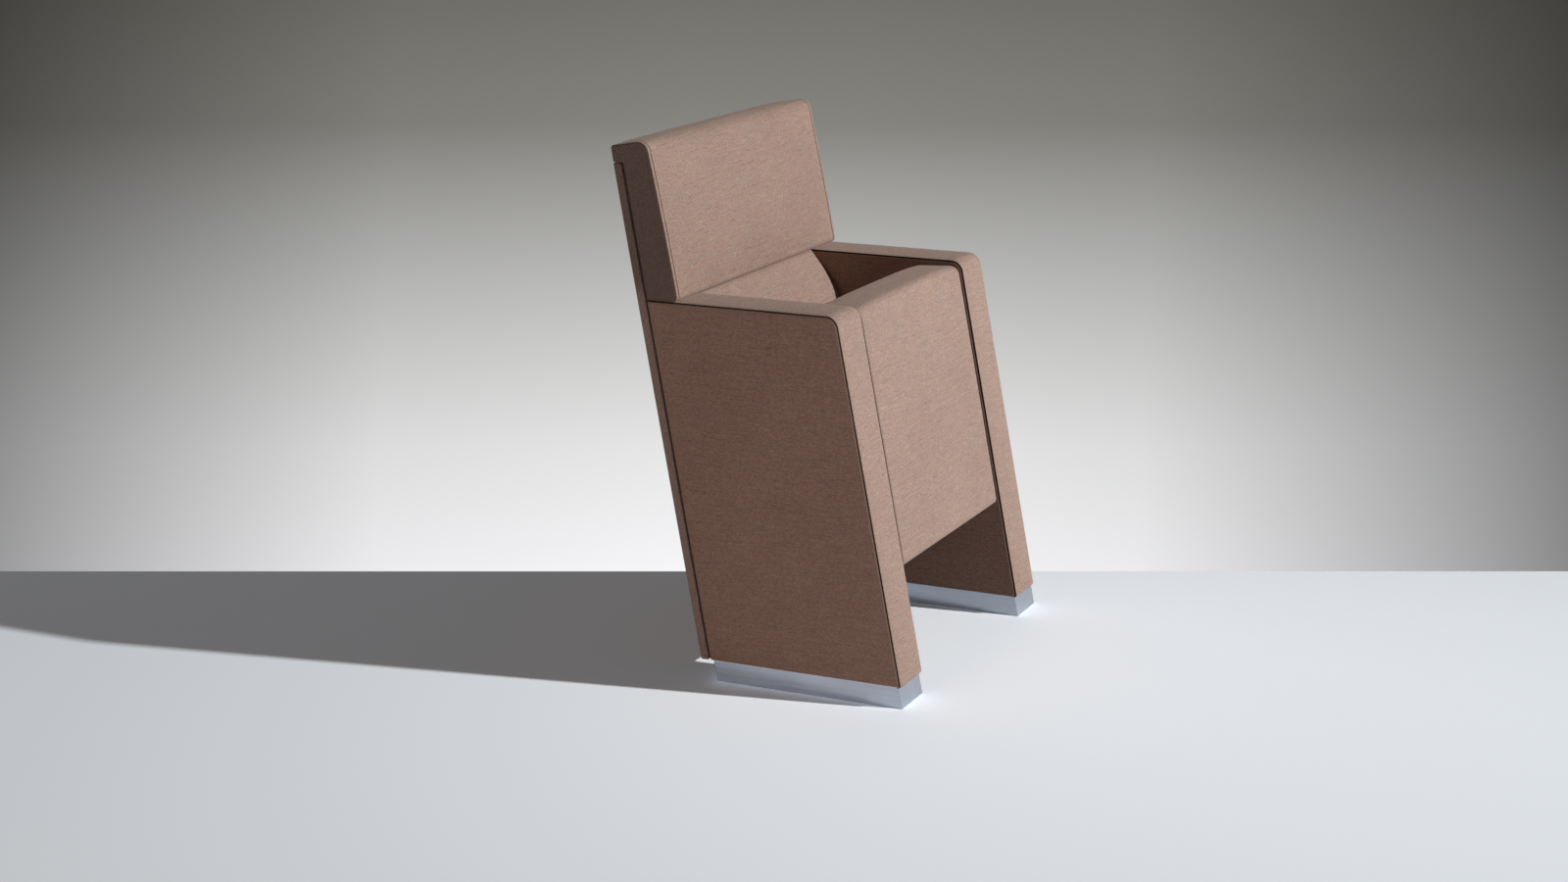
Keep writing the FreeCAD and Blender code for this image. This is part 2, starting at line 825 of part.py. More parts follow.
def seat_layer(low, high):
    """A block over the whole seat, between two heights over its underside."""
    return box(-side_inner_x, side_inner_x, low, high, -cut_margin, seat_length + cut_margin)


def seat_cover():
    below = seat_layer(-cut_margin, seat_deck())
    return place_on_seat(seat_envelope().common(below).cut(seat_board_box()))


def seat_ear(x0, x1, grow=0.0):
    return rod(ear_radius + grow, x0, x1, pivot_above_underside, pivot_along_seat)


def seat_cushion():
    shape = seat_envelope().common(seat_layer(seat_deck(), 2 * seat_thickness))
    reach = seat_half_width - seat_wall
    deck = seat_deck()
    top = deck + seat_plate_height + strap_thickness
    shape = shape.cut(box(-reach, reach, deck - cut_margin, top, seat_end_wall,
                          seat_length - seat_end_wall))
    x0, x1 = seat_plate_x()
    pocket = seat_ear(x0 - ear_clearance, x1 + ear_clearance, ear_clearance)
    bore = rod(shaft_radius + soft_gap, x0 - shaft_inner_length - soft_gap,
               seat_half_width + cut_margin, pivot_above_underside, pivot_along_seat)
    for piece in (pocket, bore):
        shape = shape.cut(piece).cut(mirrored(piece))
    return place_on_seat(shape)


def seat_tube_places():
    return seat_tube_inset, seat_length - seat_tube_inset


def seat_frame():
    """Side plates with an ear round each shaft, joined by two cross tubes."""
    deck = seat_deck()
    x0, x1 = seat_plate_x()
    end = seat_end_wall + seat_plate_end_gap
    plate = box(x0, x1, deck, deck + seat_plate_height, end, seat_length - end)
    plate = plate.fuse(seat_ear(x0, x1)).removeSplitter()
    plate = plate.cut(rod(shaft_radius, x0 - cut_margin, x1 + cut_margin,
                          pivot_above_underside, pivot_along_seat))
    shape = plate.fuse(mirrored(plate))
    for along in seat_tube_places():
        tube = rod(seat_tube_radius, -x0, x0, deck + seat_tube_radius, along)
        tube = tube.cut(rod(seat_tube_radius - sheet, -x0, x0, deck + seat_tube_radius, along))
        shape = shape.fuse(tube)
    for screw in seat_screw_solids():
        shape = shape.cut(screw)
    return place_on_seat(shape)


def seat_screw_solids():
    screws = []
    length = seat_board_thickness + 2 * sheet
    for along in seat_tube_places():
        for k in range(seat_screws_per_tube):
            x = (k - (seat_screws_per_tube - 1) / 2) * seat_screw_pitch
            place = vec(x, seat_cover_thickness, along)
            head = Part.makeCylinder(screw_head_radius, screw_head_height, place, vec(0, 1, 0))
            screws.append(head.fuse(Part.makeCylinder(screw_radius, length, place, vec(0, 1, 0))))
    return screws


def seat_board():
    shape = seat_board_box()
    for screw in seat_screw_solids():
        shape = shape.cut(screw)
    return place_on_seat(shape)


def seat_screws():
    return place_on_seat(Part.makeCompound(seat_screw_solids()))


def seat_straps():
    """Elastic straps that lie across the side plates, clear of the ears."""
    reach = seat_plate_x()[1]
    y = seat_deck() + seat_plate_height
    straps = []
    for way in (-1, 1):
        for k in range(straps_per_half):
            middle = pivot_along_seat + way * (first_strap_offset + k * strap_pitch)
            straps.append(box(-reach, reach, y, y + strap_thickness,
                              middle - strap_width / 2, middle + strap_width / 2))
    return place_on_seat(Part.makeCompound(straps))


paired = {
    "base_plate": base_plate, "plinth": plinth, "base_bolts": lambda: Part.makeCompound(base_bolts()),
    "side_frame": side_frame, "outer_board": outer_board, "inner_board": inner_board,
    "edge_strip": edge_strip, "rear_strip": rear_strip, "board_screws": board_screws,
    "outer_pad": outer_pad, "inner_pad": inner_pad, "arm_band": arm_band,
    "hinge_plate": hinge_plate, "hinge_bush": hinge_bush, "stop_buffers": stop_buffers,
    "return_spring": return_spring, "hinge_shaft": hinge_shaft, "hinge_washer": hinge_washer,
    "stop_arm": stop_arm,
}
single = {
    "back_frame": back_frame, "upper_back_board": upper_back_board, "upper_back_pad": upper_back_pad,
    "lumbar_board": lumbar_board, "lumbar_pad": lumbar_pad, "rear_board": rear_board,
    "rear_cover": rear_cover, "panel_spacers": panel_spacers, "seat_frame": seat_frame,
    "seat_board": seat_board, "seat_screws": seat_screws, "seat_straps": seat_straps,
    "seat_cover": seat_cover, "seat_cushion": seat_cushion,
}
rail_names = ("back_rail_low", "back_rail_middle", "back_rail_high")

os.makedirs("parts", exist_ok=True)
for name, make in paired.items():
    shape = make()
    shape.exportStep("parts/" + name + "_left.step")
    mirrored(shape).exportStep("parts/" + name + "_right.step")
for name, make in single.items():
    make().exportStep("parts/" + name + ".step")
for name, level in zip(rail_names, rail_levels):
    rail(-frame_inner_x, frame_inner_x, level).exportStep("parts/" + name + ".step")
print("pivot", [round(value, 2) for value in pivot()])
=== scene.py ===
"""Tip up auditorium seat: upholstery, finishes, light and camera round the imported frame."""
import json
import math
import bmesh
import bpy
import numpy as np
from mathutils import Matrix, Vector


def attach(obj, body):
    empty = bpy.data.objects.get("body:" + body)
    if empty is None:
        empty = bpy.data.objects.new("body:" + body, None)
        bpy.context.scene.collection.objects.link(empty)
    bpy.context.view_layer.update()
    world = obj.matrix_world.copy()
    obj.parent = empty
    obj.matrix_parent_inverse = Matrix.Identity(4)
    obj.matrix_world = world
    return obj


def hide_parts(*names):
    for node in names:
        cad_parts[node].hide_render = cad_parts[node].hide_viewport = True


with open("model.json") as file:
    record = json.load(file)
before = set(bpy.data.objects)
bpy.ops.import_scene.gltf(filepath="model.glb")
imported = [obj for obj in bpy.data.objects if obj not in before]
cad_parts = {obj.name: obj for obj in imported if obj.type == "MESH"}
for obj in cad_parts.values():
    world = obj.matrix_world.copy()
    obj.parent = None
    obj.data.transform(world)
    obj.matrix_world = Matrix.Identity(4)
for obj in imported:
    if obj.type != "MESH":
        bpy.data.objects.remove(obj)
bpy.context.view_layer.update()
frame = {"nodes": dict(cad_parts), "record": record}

# Sizes in millimetres, as in the part's source
HALF_WIDTH = 320.0
SIDE_WIDTH = 94.0
SIDE_INNER = HALF_WIDTH - SIDE_WIDTH
SIDE_MIDDLE = HALF_WIDTH - SIDE_WIDTH / 2
BASE_DEPTH = 344.0
ARM_HEIGHT = 640.0
PLINTH_HEIGHT = 36.0
PAD = 14.0
ARM_RADIUS = 22.0
BACK_TOP = 902.0
PANEL_TOP = 862.0
BACK_SEAM = 0.8
BACK_OVERHANG = 17.0
SEAT_LENGTH = 439.0
SEAT_THICKNESS = 85.0
SEAT_HALF = 218.0
SEAT_LOW = 210.0
SEAT_SETBACK = 7.0
BACK_DEPTH_AT_ARM = 58.0
FRONT_SLOPE = math.tan(math.radians(11.0))
REAR_SLOPE = math.tan(math.radians(10.5))
FACE_SLOPE = math.tan(math.radians(12.0))


# Front plane of the sides, rear plane of the sides and face of the upper back, at height z

def front_y(z):
    return -BASE_DEPTH / 2 + z * FRONT_SLOPE


def rear_y(z):
    return BASE_DEPTH / 2 + z * REAR_SLOPE


def face_y(z):
    return rear_y(ARM_HEIGHT) - BACK_DEPTH_AT_ARM + (z - ARM_HEIGHT) * FACE_SLOPE


# Outlines in the YZ plane

def unit(a, b):
    d = np.subtract(b, a).astype(float)
    return d / np.hypot(*d)


def turning(points):
    ring = np.array(points + points[:1], float)
    area = np.sum(ring[:-1, 0] * ring[1:, 1] - ring[1:, 0] * ring[:-1, 1])
    return 1.0 if area > 0 else -1.0


def moved_in(points, insets):
    """The outline with side i, from point i to the next, moved inward by insets[i]."""
    sign = turning(points)
    n = len(points)
    lines = []
    for i in range(n):
        d = unit(points[i], points[(i + 1) % n])
        inward = np.array([-d[1], d[0]]) * sign
        lines.append((np.array(points[i], float) + inward * insets[i], d))
    out = []
    for i in range(n):
        (p, d), (q, e) = lines[i - 1], lines[i]
        t = np.linalg.solve(np.array([d, -e]).T, q - p)[0]
        out.append(tuple(p + d * t))
    return out


def loop(points, radii, crowns, counts, arc_steps=7):
    """Points round a rounded outline: counts[i] steps on side i, and a crown on it."""
    sign = turning(points)
    n = len(points)
    arcs = []
    for i, p in enumerate(points):
        p = np.array(p, float)
        back, ahead = unit(p, points[i - 1]), unit(p, points[(i + 1) % n])
        if radii[i] <= 0:
            arcs.append([p])
            continue
        half = math.acos(float(np.clip(back @ ahead, -1, 1))) / 2
        reach = radii[i] / math.tan(half)
        centre = p + unit((0, 0), back + ahead) * radii[i] / math.sin(half)
        start, end = p + back * reach - centre, p + ahead * reach - centre
        a0, a1 = math.atan2(start[1], start[0]), math.atan2(end[1], end[0])
        turn = (a1 - a0 + math.pi) % (2 * math.pi) - math.pi
        angles = a0 + turn * np.linspace(0, 1, arc_steps)
        arcs.append([centre + radii[i] * np.array([math.cos(a), math.sin(a)]) for a in angles])
    out = []
    for i in range(n):
        out += arcs[i]
        a, b = arcs[i][-1], arcs[(i + 1) % n][0]
        d = unit(a, b)
        outward = np.array([d[1], -d[0]]) * sign
        for k in range(1, counts[i]):
            f = k / counts[i]
            out.append(a + (b - a) * f + outward * crowns[i] * (1 - (2 * f - 1) ** 2))
    return np.array(out)


# Meshes

def new_piece(name, points, faces, smooth=True):
    mesh = bpy.data.meshes.new(name)
    mesh.from_pydata([tuple(p) for p in np.asarray(points, float) * 0.001], [], faces)
    mesh.update()
    piece = bpy.data.objects.new(name, mesh)
    bpy.context.scene.collection.objects.link(piece)
    bm = bmesh.new()
    bm.from_mesh(mesh)
    bmesh.ops.recalc_face_normals(bm, faces=bm.faces)
    for face in bm.faces:
        face.smooth = smooth
    bm.to_mesh(mesh)
    bm.free()
    return piece


def fill_caps(piece):
    """Closes every open border of a mesh with flat triangles."""
    bm = bmesh.new()
    bm.from_mesh(piece.data)
    open_edges = [e for e in bm.edges if e.is_boundary]
    groups = []
    left = set(open_edges)
    for first in open_edges:
        if first not in left:
            continue
        left.discard(first)
        group = [first]
        for edge in group:
            for v in edge.verts:
                for other in v.link_edges:
                    if other in left:
                        left.discard(other)
                        group.append(other)
        groups.append(group)
    for group in groups:
        bmesh.ops.triangle_fill(bm, edges=group, use_beauty=True)
    bmesh.ops.recalc_face_normals(bm, faces=bm.faces)
    for face in bm.faces:
        face.smooth = True
    bm.to_mesh(piece.data)
    bm.free()


def spots(mesh):
    co = np.empty(len(mesh.vertices) * 3, np.float32)
    mesh.vertices.foreach_get("co", co)
    return co.reshape(-1, 3).astype(float)


def put_spots(mesh, co):
    mesh.vertices.foreach_set("co", np.asarray(co, np.float32).ravel())
    mesh.update()


def mark(piece, name, values):
    data = piece.data.attributes.new(name, "FLOAT", "POINT")
    data.data.foreach_set("value", np.asarray(values, np.float32))


def puff(piece, held, most, pressure=4.0):
    """Fills a pad by a short cloth simulation; held is 0 to 1 per vertex, most is the cap in metres."""
    rest = spots(piece.data)
    group = piece.vertex_groups.new(name="held")
    for value in (1.0, 0.6, 0.3):
        chosen = [int(i) for i in np.nonzero(np.isclose(held, value))[0]]
        if chosen:
            group.add(chosen, value, "REPLACE")
    cloth = piece.modifiers.new("filling", "CLOTH")
    settings = cloth.settings
    settings.use_pressure = True
    settings.uniform_pressure_force = pressure
    settings.vertex_group_mass = "held"
    settings.effector_weights.gravity = 0
    settings.quality = 4
    settings.tension_stiffness = 15
    settings.compression_stiffness = 15
    settings.bending_stiffness = 0.5
    cloth.point_cache.frame_start = 1
    cloth.point_cache.frame_end = 20
    scene = bpy.context.scene
    for step in range(1, 21):
        scene.frame_set(step)
    graph = bpy.context.evaluated_depsgraph_get()
    shaped = piece.evaluated_get(graph).to_mesh()
    move = spots(shaped) - rest
    piece.evaluated_get(graph).to_mesh_clear()
    piece.modifiers.remove(cloth)
    piece.vertex_groups.remove(group)
    scene.frame_set(1)
    length = np.linalg.norm(move, axis=1, keepdims=True) + 1e-9
    put_spots(piece.data, rest + move / length * most * np.tanh(length / most))


def edge_drop(distance, radius):
    """How far a rounded edge lies under the face, by distance from the edge."""
    d = np.clip(distance, 0, radius)
    return radius - np.sqrt(np.maximum(radius ** 2 - (radius - d) ** 2, 0))


def along_x(name, corners, radii, crowns, eased, counts, half, ends, spacing, least=0.25):
    """A pad lofted along X over an outline in the YZ plane, and the distance of each vertex from its end.

    ends lists (distance from the end, inset) from the cap inward. Side i of the outline takes eased[i]
    of that inset, counts[i] steps and crowns[i], of which the share least is left at the ends.
    """
    flat = half - ends[-1][0]
    count = max(2, round(2 * flat / spacing))
    inner = np.linspace(-flat, flat, count + 1)[1:-1]
    places = [(-half + e, i) for e, i in ends] + [(x, 0.0) for x in inner]
    places += [(half - e, i) for e, i in reversed(ends)]
    rows = []
    for x, inset in places:
        share = least + (1 - least) * (1 - (x / half) ** 2)
        moved = moved_in(corners, [inset * ease for ease in eased])
        round_off = [max(r - max(inset, 0), 0.6) if r else 0.0 for r in radii]
        ring = loop(moved, round_off, [c * share for c in crowns], counts)
        rows.append(np.column_stack([np.full(len(ring), x), ring]))
    n, m = len(rows), len(rows[0])
    faces = []
    for i in range(n - 1):
        for k in range(m):
            j = (k + 1) % m
            faces.append((i * m + k, (i + 1) * m + k, (i + 1) * m + j, i * m + j))
    piece = new_piece(name, np.concatenate(rows), faces)
    fill_caps(piece)
    return piece, np.repeat([half - abs(x) for x, _ in places], m), n, m


# Node helpers

def add(tree, kind, **values):
    node = tree.nodes.new(kind)
    for key, value in values.items():
        if hasattr(node, key):
            setattr(node, key, value)
        else:
            node.inputs[key.replace("_", " ")].default_value = value
    return node


def math_node(tree, kind, a, b):
    node = tree.nodes.new("ShaderNodeMath")
    node.operation = kind
    for socket, value in zip(node.inputs, (a, b)):
        if isinstance(value, (int, float)):
            socket.default_value = value
        else:
            tree.links.new(value, socket)
    return node.outputs[0]


def scaled(tree, value, factor, plus):
    """value * factor + plus, where value and plus may be sockets."""
    return math_node(tree, "ADD", math_node(tree, "MULTIPLY", value, factor), plus)


def mixed(tree, factor, a, b, blend="MIX"):
    node = tree.nodes.new("ShaderNodeMix")
    node.data_type = "RGBA"
    node.blend_type = blend
    for socket, value in zip((node.inputs[0], node.inputs[6], node.inputs[7]), (factor, a, b)):
        if isinstance(value, (int, float)):
            socket.default_value = value
        elif isinstance(value, tuple):
            socket.default_value = (*value, 1.0)
        else:
            tree.links.new(value, socket)
    return node.outputs[2]


def times(tree, a, b):
    return mixed(tree, 1.0, a, b, "MULTIPLY")


def ramp(tree, value, stops):
    node = tree.nodes.new("ShaderNodeValToRGB")
    tree.links.new(value, node.inputs[0])
    elements = node.color_ramp.elements
    while len(elements) < len(stops):
        elements.new(0.5)
    for element, (place, colour) in zip(elements, stops):
        element.position = place
        element.color = (*colour, 1.0) if isinstance(colour, tuple) else (colour, colour, colour, 1.0)
    return node.outputs[0]


def noise(tree, place, scale, detail=2.0, rough=0.55, shift=0.0):
    """Noise stretched by a scale per axis, in repeats per metre."""
    mapping = tree.nodes.new("ShaderNodeMapping")
    mapping.inputs["Scale"].default_value = scale
    mapping.inputs["Location"].default_value = (shift, shift * 0.7, shift * 1.3)
    tree.links.new(place, mapping.inputs["Vector"])
    texture = add(tree, "ShaderNodeTexNoise", Scale=1.0, Detail=detail, Roughness=rough)
    tree.links.new(mapping.outputs[0], texture.inputs["Vector"])
    return texture.outputs["Fac"]


def started(name):
    material = bpy.data.materials.new(name)
    material.use_nodes = True
    tree = material.node_tree
    return material, tree, tree.nodes["Principled BSDF"]


def linear(*rgb):
    return tuple((c / 255 / 12.92) if c <= 10 else ((c / 255 + 0.055) / 1.055) ** 2.4 for c in rgb)


# Yarn shades: base, dark, light, rose and grey
YARNS = ((182, 155, 141), (160, 132, 119), (197, 173, 159), (187, 151, 138), (171, 154, 147))


def fabric(name, run, tone=(1.0, 1.0, 1.0)):
    """Heathered woven upholstery whose slubs run along axis run (0 for X, 1 for Y)."""
    material, tree, shader = started(name)
    place = tree.nodes.new("ShaderNodeTexCoord").outputs["Object"]

    def stretched(long, cross):
        return tuple(long if axis == run else cross for axis in range(3))

    slub = noise(tree, place, stretched(22.0, 760.0), 2.0, 0.55)
    tint = noise(tree, place, stretched(26.0, 330.0), 2.0, 0.55, 3.1)
    fleck = noise(tree, place, stretched(260.0, 430.0), 1.0, 0.5, 7.7)
    cloud = noise(tree, place, (5.0, 5.0, 5.0), 2.0, 0.5, 1.9)
    # tone scales every yarn shade; the tones passed in for the outer sides, inner faces and back are
    # painted shade
    base, dark, light, rose, grey = (tuple(c * t for c, t in zip(linear(*shade), tone)) for shade in YARNS)
    yarn = ramp(tree, slub, [(0.30, dark), (0.47, base), (0.56, base), (0.72, light)])
    heather = ramp(tree, tint, [(0.36, rose), (0.5, base), (0.64, grey)])
    colour = mixed(tree, 0.40, yarn, heather)
    colour = times(tree, colour, ramp(tree, fleck, [(0.3, 0.68), (0.7, 1.0)]))
    colour = times(tree, colour, ramp(tree, cloud, [(0.3, 0.95), (0.7, 1.04)]))
    # Painted shade: the attribute read here darkens the cloth to near black along seams and gaps, standing
    # for both the seams and the shade in them, and it darkens the block's gusset and the rear panel's edges
    # as painted shade
    seam_and_painted_shade = add(tree, "ShaderNodeAttribute", attribute_name="seam_and_painted_shade")
    colour = mixed(tree, seam_and_painted_shade.outputs["Fac"], colour, tuple(c * 0.035 for c in base))
    tree.links.new(colour, shader.inputs["Base Color"])
    tree.links.new(ramp(tree, slub, [(0.3, 0.97), (0.7, 0.84)]), shader.inputs["Roughness"])
    shader.inputs["Specular IOR Level"].default_value = 0.08
    shader.inputs["Sheen Weight"].default_value = 0.08
    shader.inputs["Sheen Roughness"].default_value = 0.5

    def bands(axis, period):
        wave = add(tree, "ShaderNodeTexWave", wave_type="BANDS", bands_direction="XYZ"[axis])
        wave.inputs["Scale"].default_value = 0.3142 / period
        wave.inputs["Distortion"].default_value = 0.6
        wave.inputs["Detail"].default_value = 1.0
        wave.inputs["Detail Scale"].default_value = 2.0
        tree.links.new(place, wave.inputs["Vector"])
        return wave.outputs["Fac"]

    rows = math_node(tree, "MAXIMUM", bands(2, 0.0017), bands(1 - run, 0.0017))
    weave = math_node(tree, "MULTIPLY", rows, bands(run, 0.0021))
    height = scaled(tree, weave, 0.55, math_node(tree, "MULTIPLY", slub, 0.9))
    height = scaled(tree, fleck, 0.35, height)
    bump = add(tree, "ShaderNodeBump", Strength=0.5, Distance=0.0004)
    tree.links.new(height, bump.inputs["Height"])
    tree.links.new(bump.outputs[0], shader.inputs["Normal"])
    return material


def metal(name, colour, rough, grain, metallic=1.0, spread=0.08):
    """Metal or coated metal with a fine directional grain, in repeats per metre."""
    material, tree, shader = started(name)
    place = tree.nodes.new("ShaderNodeTexCoord").outputs["Object"]
    line = noise(tree, place, grain, 3.0, 0.6)
    cloud = noise(tree, place, (14.0, 14.0, 14.0), 3.0, 0.5, 2.3)
    tone = times(tree, colour, ramp(tree, line, [(0.3, 0.92), (0.7, 1.06)]))
    tone = times(tree, tone, ramp(tree, cloud, [(0.3, 0.94), (0.7, 1.04)]))
    tree.links.new(tone, shader.inputs["Base Color"])
    shader.inputs["Metallic"].default_value = metallic
    roughness = ramp(tree, line, [(0.25, rough - spread), (0.75, rough + spread)])
    tree.links.new(roughness, shader.inputs["Roughness"])
    bump = add(tree, "ShaderNodeBump", Strength=0.12, Distance=0.0002)
    tree.links.new(line, bump.inputs["Height"])
    tree.links.new(bump.outputs[0], shader.inputs["Normal"])
    return material


def plywood():
    material, tree, shader = started("birch_plywood")
    place = tree.nodes.new("ShaderNodeTexCoord").outputs["Object"]
    grain = noise(tree, place, (60.0, 420.0, 6.0), 4.0, 0.6)
    figure = noise(tree, place, (9.0, 60.0, 2.0), 2.0, 0.5, 4.2)
    colour = ramp(tree, grain, [(0.3, linear(178, 140, 98)), (0.6, linear(212, 180, 138))])
    colour = times(tree, colour, ramp(tree, figure, [(0.35, 0.86), (0.65, 1.05)]))
    tree.links.new(colour, shader.inputs["Base Color"])
    tree.links.new(ramp(tree, grain, [(0.3, 0.5), (0.7, 0.66)]), shader.inputs["Roughness"])
    bump = add(tree, "ShaderNodeBump", Strength=0.2, Distance=0.0003)
    tree.links.new(grain, bump.inputs["Height"])
    tree.links.new(bump.outputs[0], shader.inputs["Normal"])
    return material


def moulded(name, colour, rough, scale):
    """Nylon, rubber or webbing with a fine surface grain."""
    material, tree, shader = started(name)
    place = tree.nodes.new("ShaderNodeTexCoord").outputs["Object"]
    grain = noise(tree, place, scale, 3.0, 0.6)
    tone = times(tree, colour, ramp(tree, grain, [(0.3, 0.8), (0.7, 1.25)]))
    tree.links.new(tone, shader.inputs["Base Color"])
    roughness = ramp(tree, grain, [(0.3, rough - 0.08), (0.7, rough + 0.08)])
    tree.links.new(roughness, shader.inputs["Roughness"])
    bump = add(tree, "ShaderNodeBump", Strength=0.3, Distance=0.0003)
    tree.links.new(grain, bump.inputs["Height"])
    tree.links.new(bump.outputs[0], shader.inputs["Normal"])
    return material


# One cloth. Its tones on the sides, their inner faces and the back are painted shade: the outer sides are
# tinted warm as shade, the inner faces are darkened as shade, and the back is darkened a little where less
# light falls.
fabric_x = fabric("woven_fabric_across", 0)
fabric_y_painted_warm_shade = fabric("woven_fabric_along_painted_warm_shade", 1, (1.07, 0.96, 0.90))
fabric_inner_painted_shade = fabric("woven_fabric_inner_painted_shade", 1, (0.74, 0.63, 0.58))
fabric_back_painted_shade = fabric("woven_fabric_back_painted_shade", 0, (0.91, 0.91, 0.90))
aluminium = metal("satin_aluminium", linear(165, 172, 183), 0.36, (8.0, 8.0, 900.0))
thread = moulded("sewing_thread", linear(98, 78, 69), 0.7, (900.0, 900.0, 900.0))
finishes = {
    "upholstery": fabric_x,
    "plinth_aluminium": aluminium,
    "dark_steel": metal("dark_powder_coat", (0.035, 0.035, 0.038), 0.55, (500.0, 500.0, 500.0), 0.0, 0.06),
    "zinc_steel": metal("zinc_plate", (0.56, 0.56, 0.54), 0.34, (300.0, 300.0, 300.0)),
    "spring_steel": metal("oiled_spring_steel", (0.30, 0.30, 0.31), 0.30, (200.0, 900.0, 900.0)),
    "plywood": plywood(),
    "black_nylon": moulded("black_nylon", (0.028, 0.028, 0.030), 0.45, (700.0, 700.0, 700.0)),
    "black_rubber": moulded("black_rubber", (0.022, 0.022, 0.022), 0.75, (500.0, 500.0, 500.0)),
    "webbing": moulded("black_webbing", (0.05, 0.05, 0.052), 0.8, (90.0, 900.0, 900.0)),
}
for part in frame["record"]["subparts"]:
    mesh = frame["nodes"][part["node"]].data
    mesh.materials.clear()
    mesh.materials.append(finishes[part["material_slot"]])


def finish(piece, material, body, replaced=()):
    """Gives a piece its material and body, and hides the CAD nodes it replaces."""
    piece.data.materials.append(material)
    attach(piece, body)
    if replaced:
        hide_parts(*replaced)
    return piece


# Seams at both ends of a lofted pad, as (distance from the end, inset)

STITCH_LINE = 8.4
BOX_SEAM = [(0.0, 6.0), (0.0, 3.6), (0.15, 2.2), (0.5, 1.5), (0.6, 1.2), (1.0, 0.55), (1.7, 0.15),
            (2.8, 0.0)]
TOP_STITCH = [(5.0, 0.0), (7.0, 0.05), (7.7, 0.5), (STITCH_LINE, 1.1), (9.1, 0.5), (9.8, 0.05),
              (12.0, 0.0), (17.0, 0.0)]


def seam_and_shade_marks(across):
    """Painted shade: dark in the box seams and along the top stitching, standing for the stitched joins and
    the shade in their grooves, and half dark on the gusset as painted shade.
    """
    value = np.where((across >= 0.3) & (across <= 0.62), 0.8, 0.0)
    value = np.maximum(value, np.where(np.abs(across - STITCH_LINE) < 0.75, 0.9, 0.0))
    return np.maximum(value, np.where(across < 0.25, 0.4, 0.0))


def stitches(name, lines, spacing=3.6, length=3.3, radius=0.34):
    """Thread stitches along lines of (point, outward normal) in millimetres, as one mesh."""
    points, faces = [], []
    for line in lines:
        spot = np.array([p for p, _ in line], float)
        normal = np.array([n for _, n in line], float)
        gaps = np.linalg.norm(np.diff(spot, axis=0), axis=1)
        run = np.concatenate([[0], np.cumsum(gaps)])
        for s in np.arange(spacing, run[-1] - spacing, spacing):
            at = [np.interp(s, run, spot[:, k]) for k in range(3)]
            after = [np.interp(s + 0.5, run, spot[:, k]) for k in range(3)]
            up = np.array([np.interp(s, run, normal[:, k]) for k in range(3)])
            way = np.subtract(after, at)
            way /= np.linalg.norm(way)
            side = np.cross(way, up)
            first = len(points)
            for along, size in ((-0.5, 0.35), (-0.3, 0.9), (0.0, 1.0), (0.3, 0.9), (0.5, 0.35)):
                lift = up * 0.25 * (1 - (2 * along) ** 2)
                for k in range(6):
                    angle = math.pi * k / 3
                    ring = (side * math.cos(angle) + up * math.sin(angle)) * radius * size
                    points.append(np.array(at) + way * along * length + lift + ring)
            for r in range(4):
                for k in range(6):
                    a, b = first + r * 6 + k, first + r * 6 + (k + 1) % 6
                    faces.append((a, b, b + 6, a + 6))
            faces.append(tuple(first + k for k in range(6)))
            faces.append(tuple(first + 24 + k for k in range(6)))
    return new_piece(name, points, faces)


# Side panels. PANEL_DEPTH, their rough depth, only spaces the steps across them. The faces swell to
# their full crown over a few times SWELL.

PANEL_DEPTH = 340.0
SWELL = 16.0

FRONT_NORMAL = np.array([-1.0, FRONT_SLOPE]) / math.hypot(1, FRONT_SLOPE)
REAR_NORMAL = np.array([1.0, -REAR_SLOPE]) / math.hypot(1, REAR_SLOPE)


def arm_centre():
    """Centre of the arm's rounded front corner."""
    z = ARM_HEIGHT - ARM_RADIUS
    y = front_y(z) + ARM_RADIUS / -FRONT_NORMAL[0]
    return np.array([y, z])


def front_distance(y, z):
    """Distance inward from the arm's outline, front and top with the rounded corner."""
    front = -((y - front_y(z)) * FRONT_NORMAL[0])
    top = ARM_HEIGHT - z
    centre = arm_centre()
    dy, dz = y - centre[0], z - centre[1]
    tangent = -FRONT_NORMAL[1] * dy + FRONT_NORMAL[0] * dz
    in_corner = (dz > 0) & (tangent < 0) & (dy < 0)
    corner = ARM_RADIUS - np.hypot(dy, dz)
    return np.where(in_corner, corner, np.minimum(front, top))


def spread(length, ends, spacing):
    """Distances 0 to length: fine steps at both ends, even ones between."""
    count = max(2, round((length - 2 * ends[-1]) / spacing))
    inner = np.linspace(ends[-1], length - ends[-1], count + 1)[1:-1]
    return np.concatenate([ends, inner, [length - e for e in reversed(ends)]])


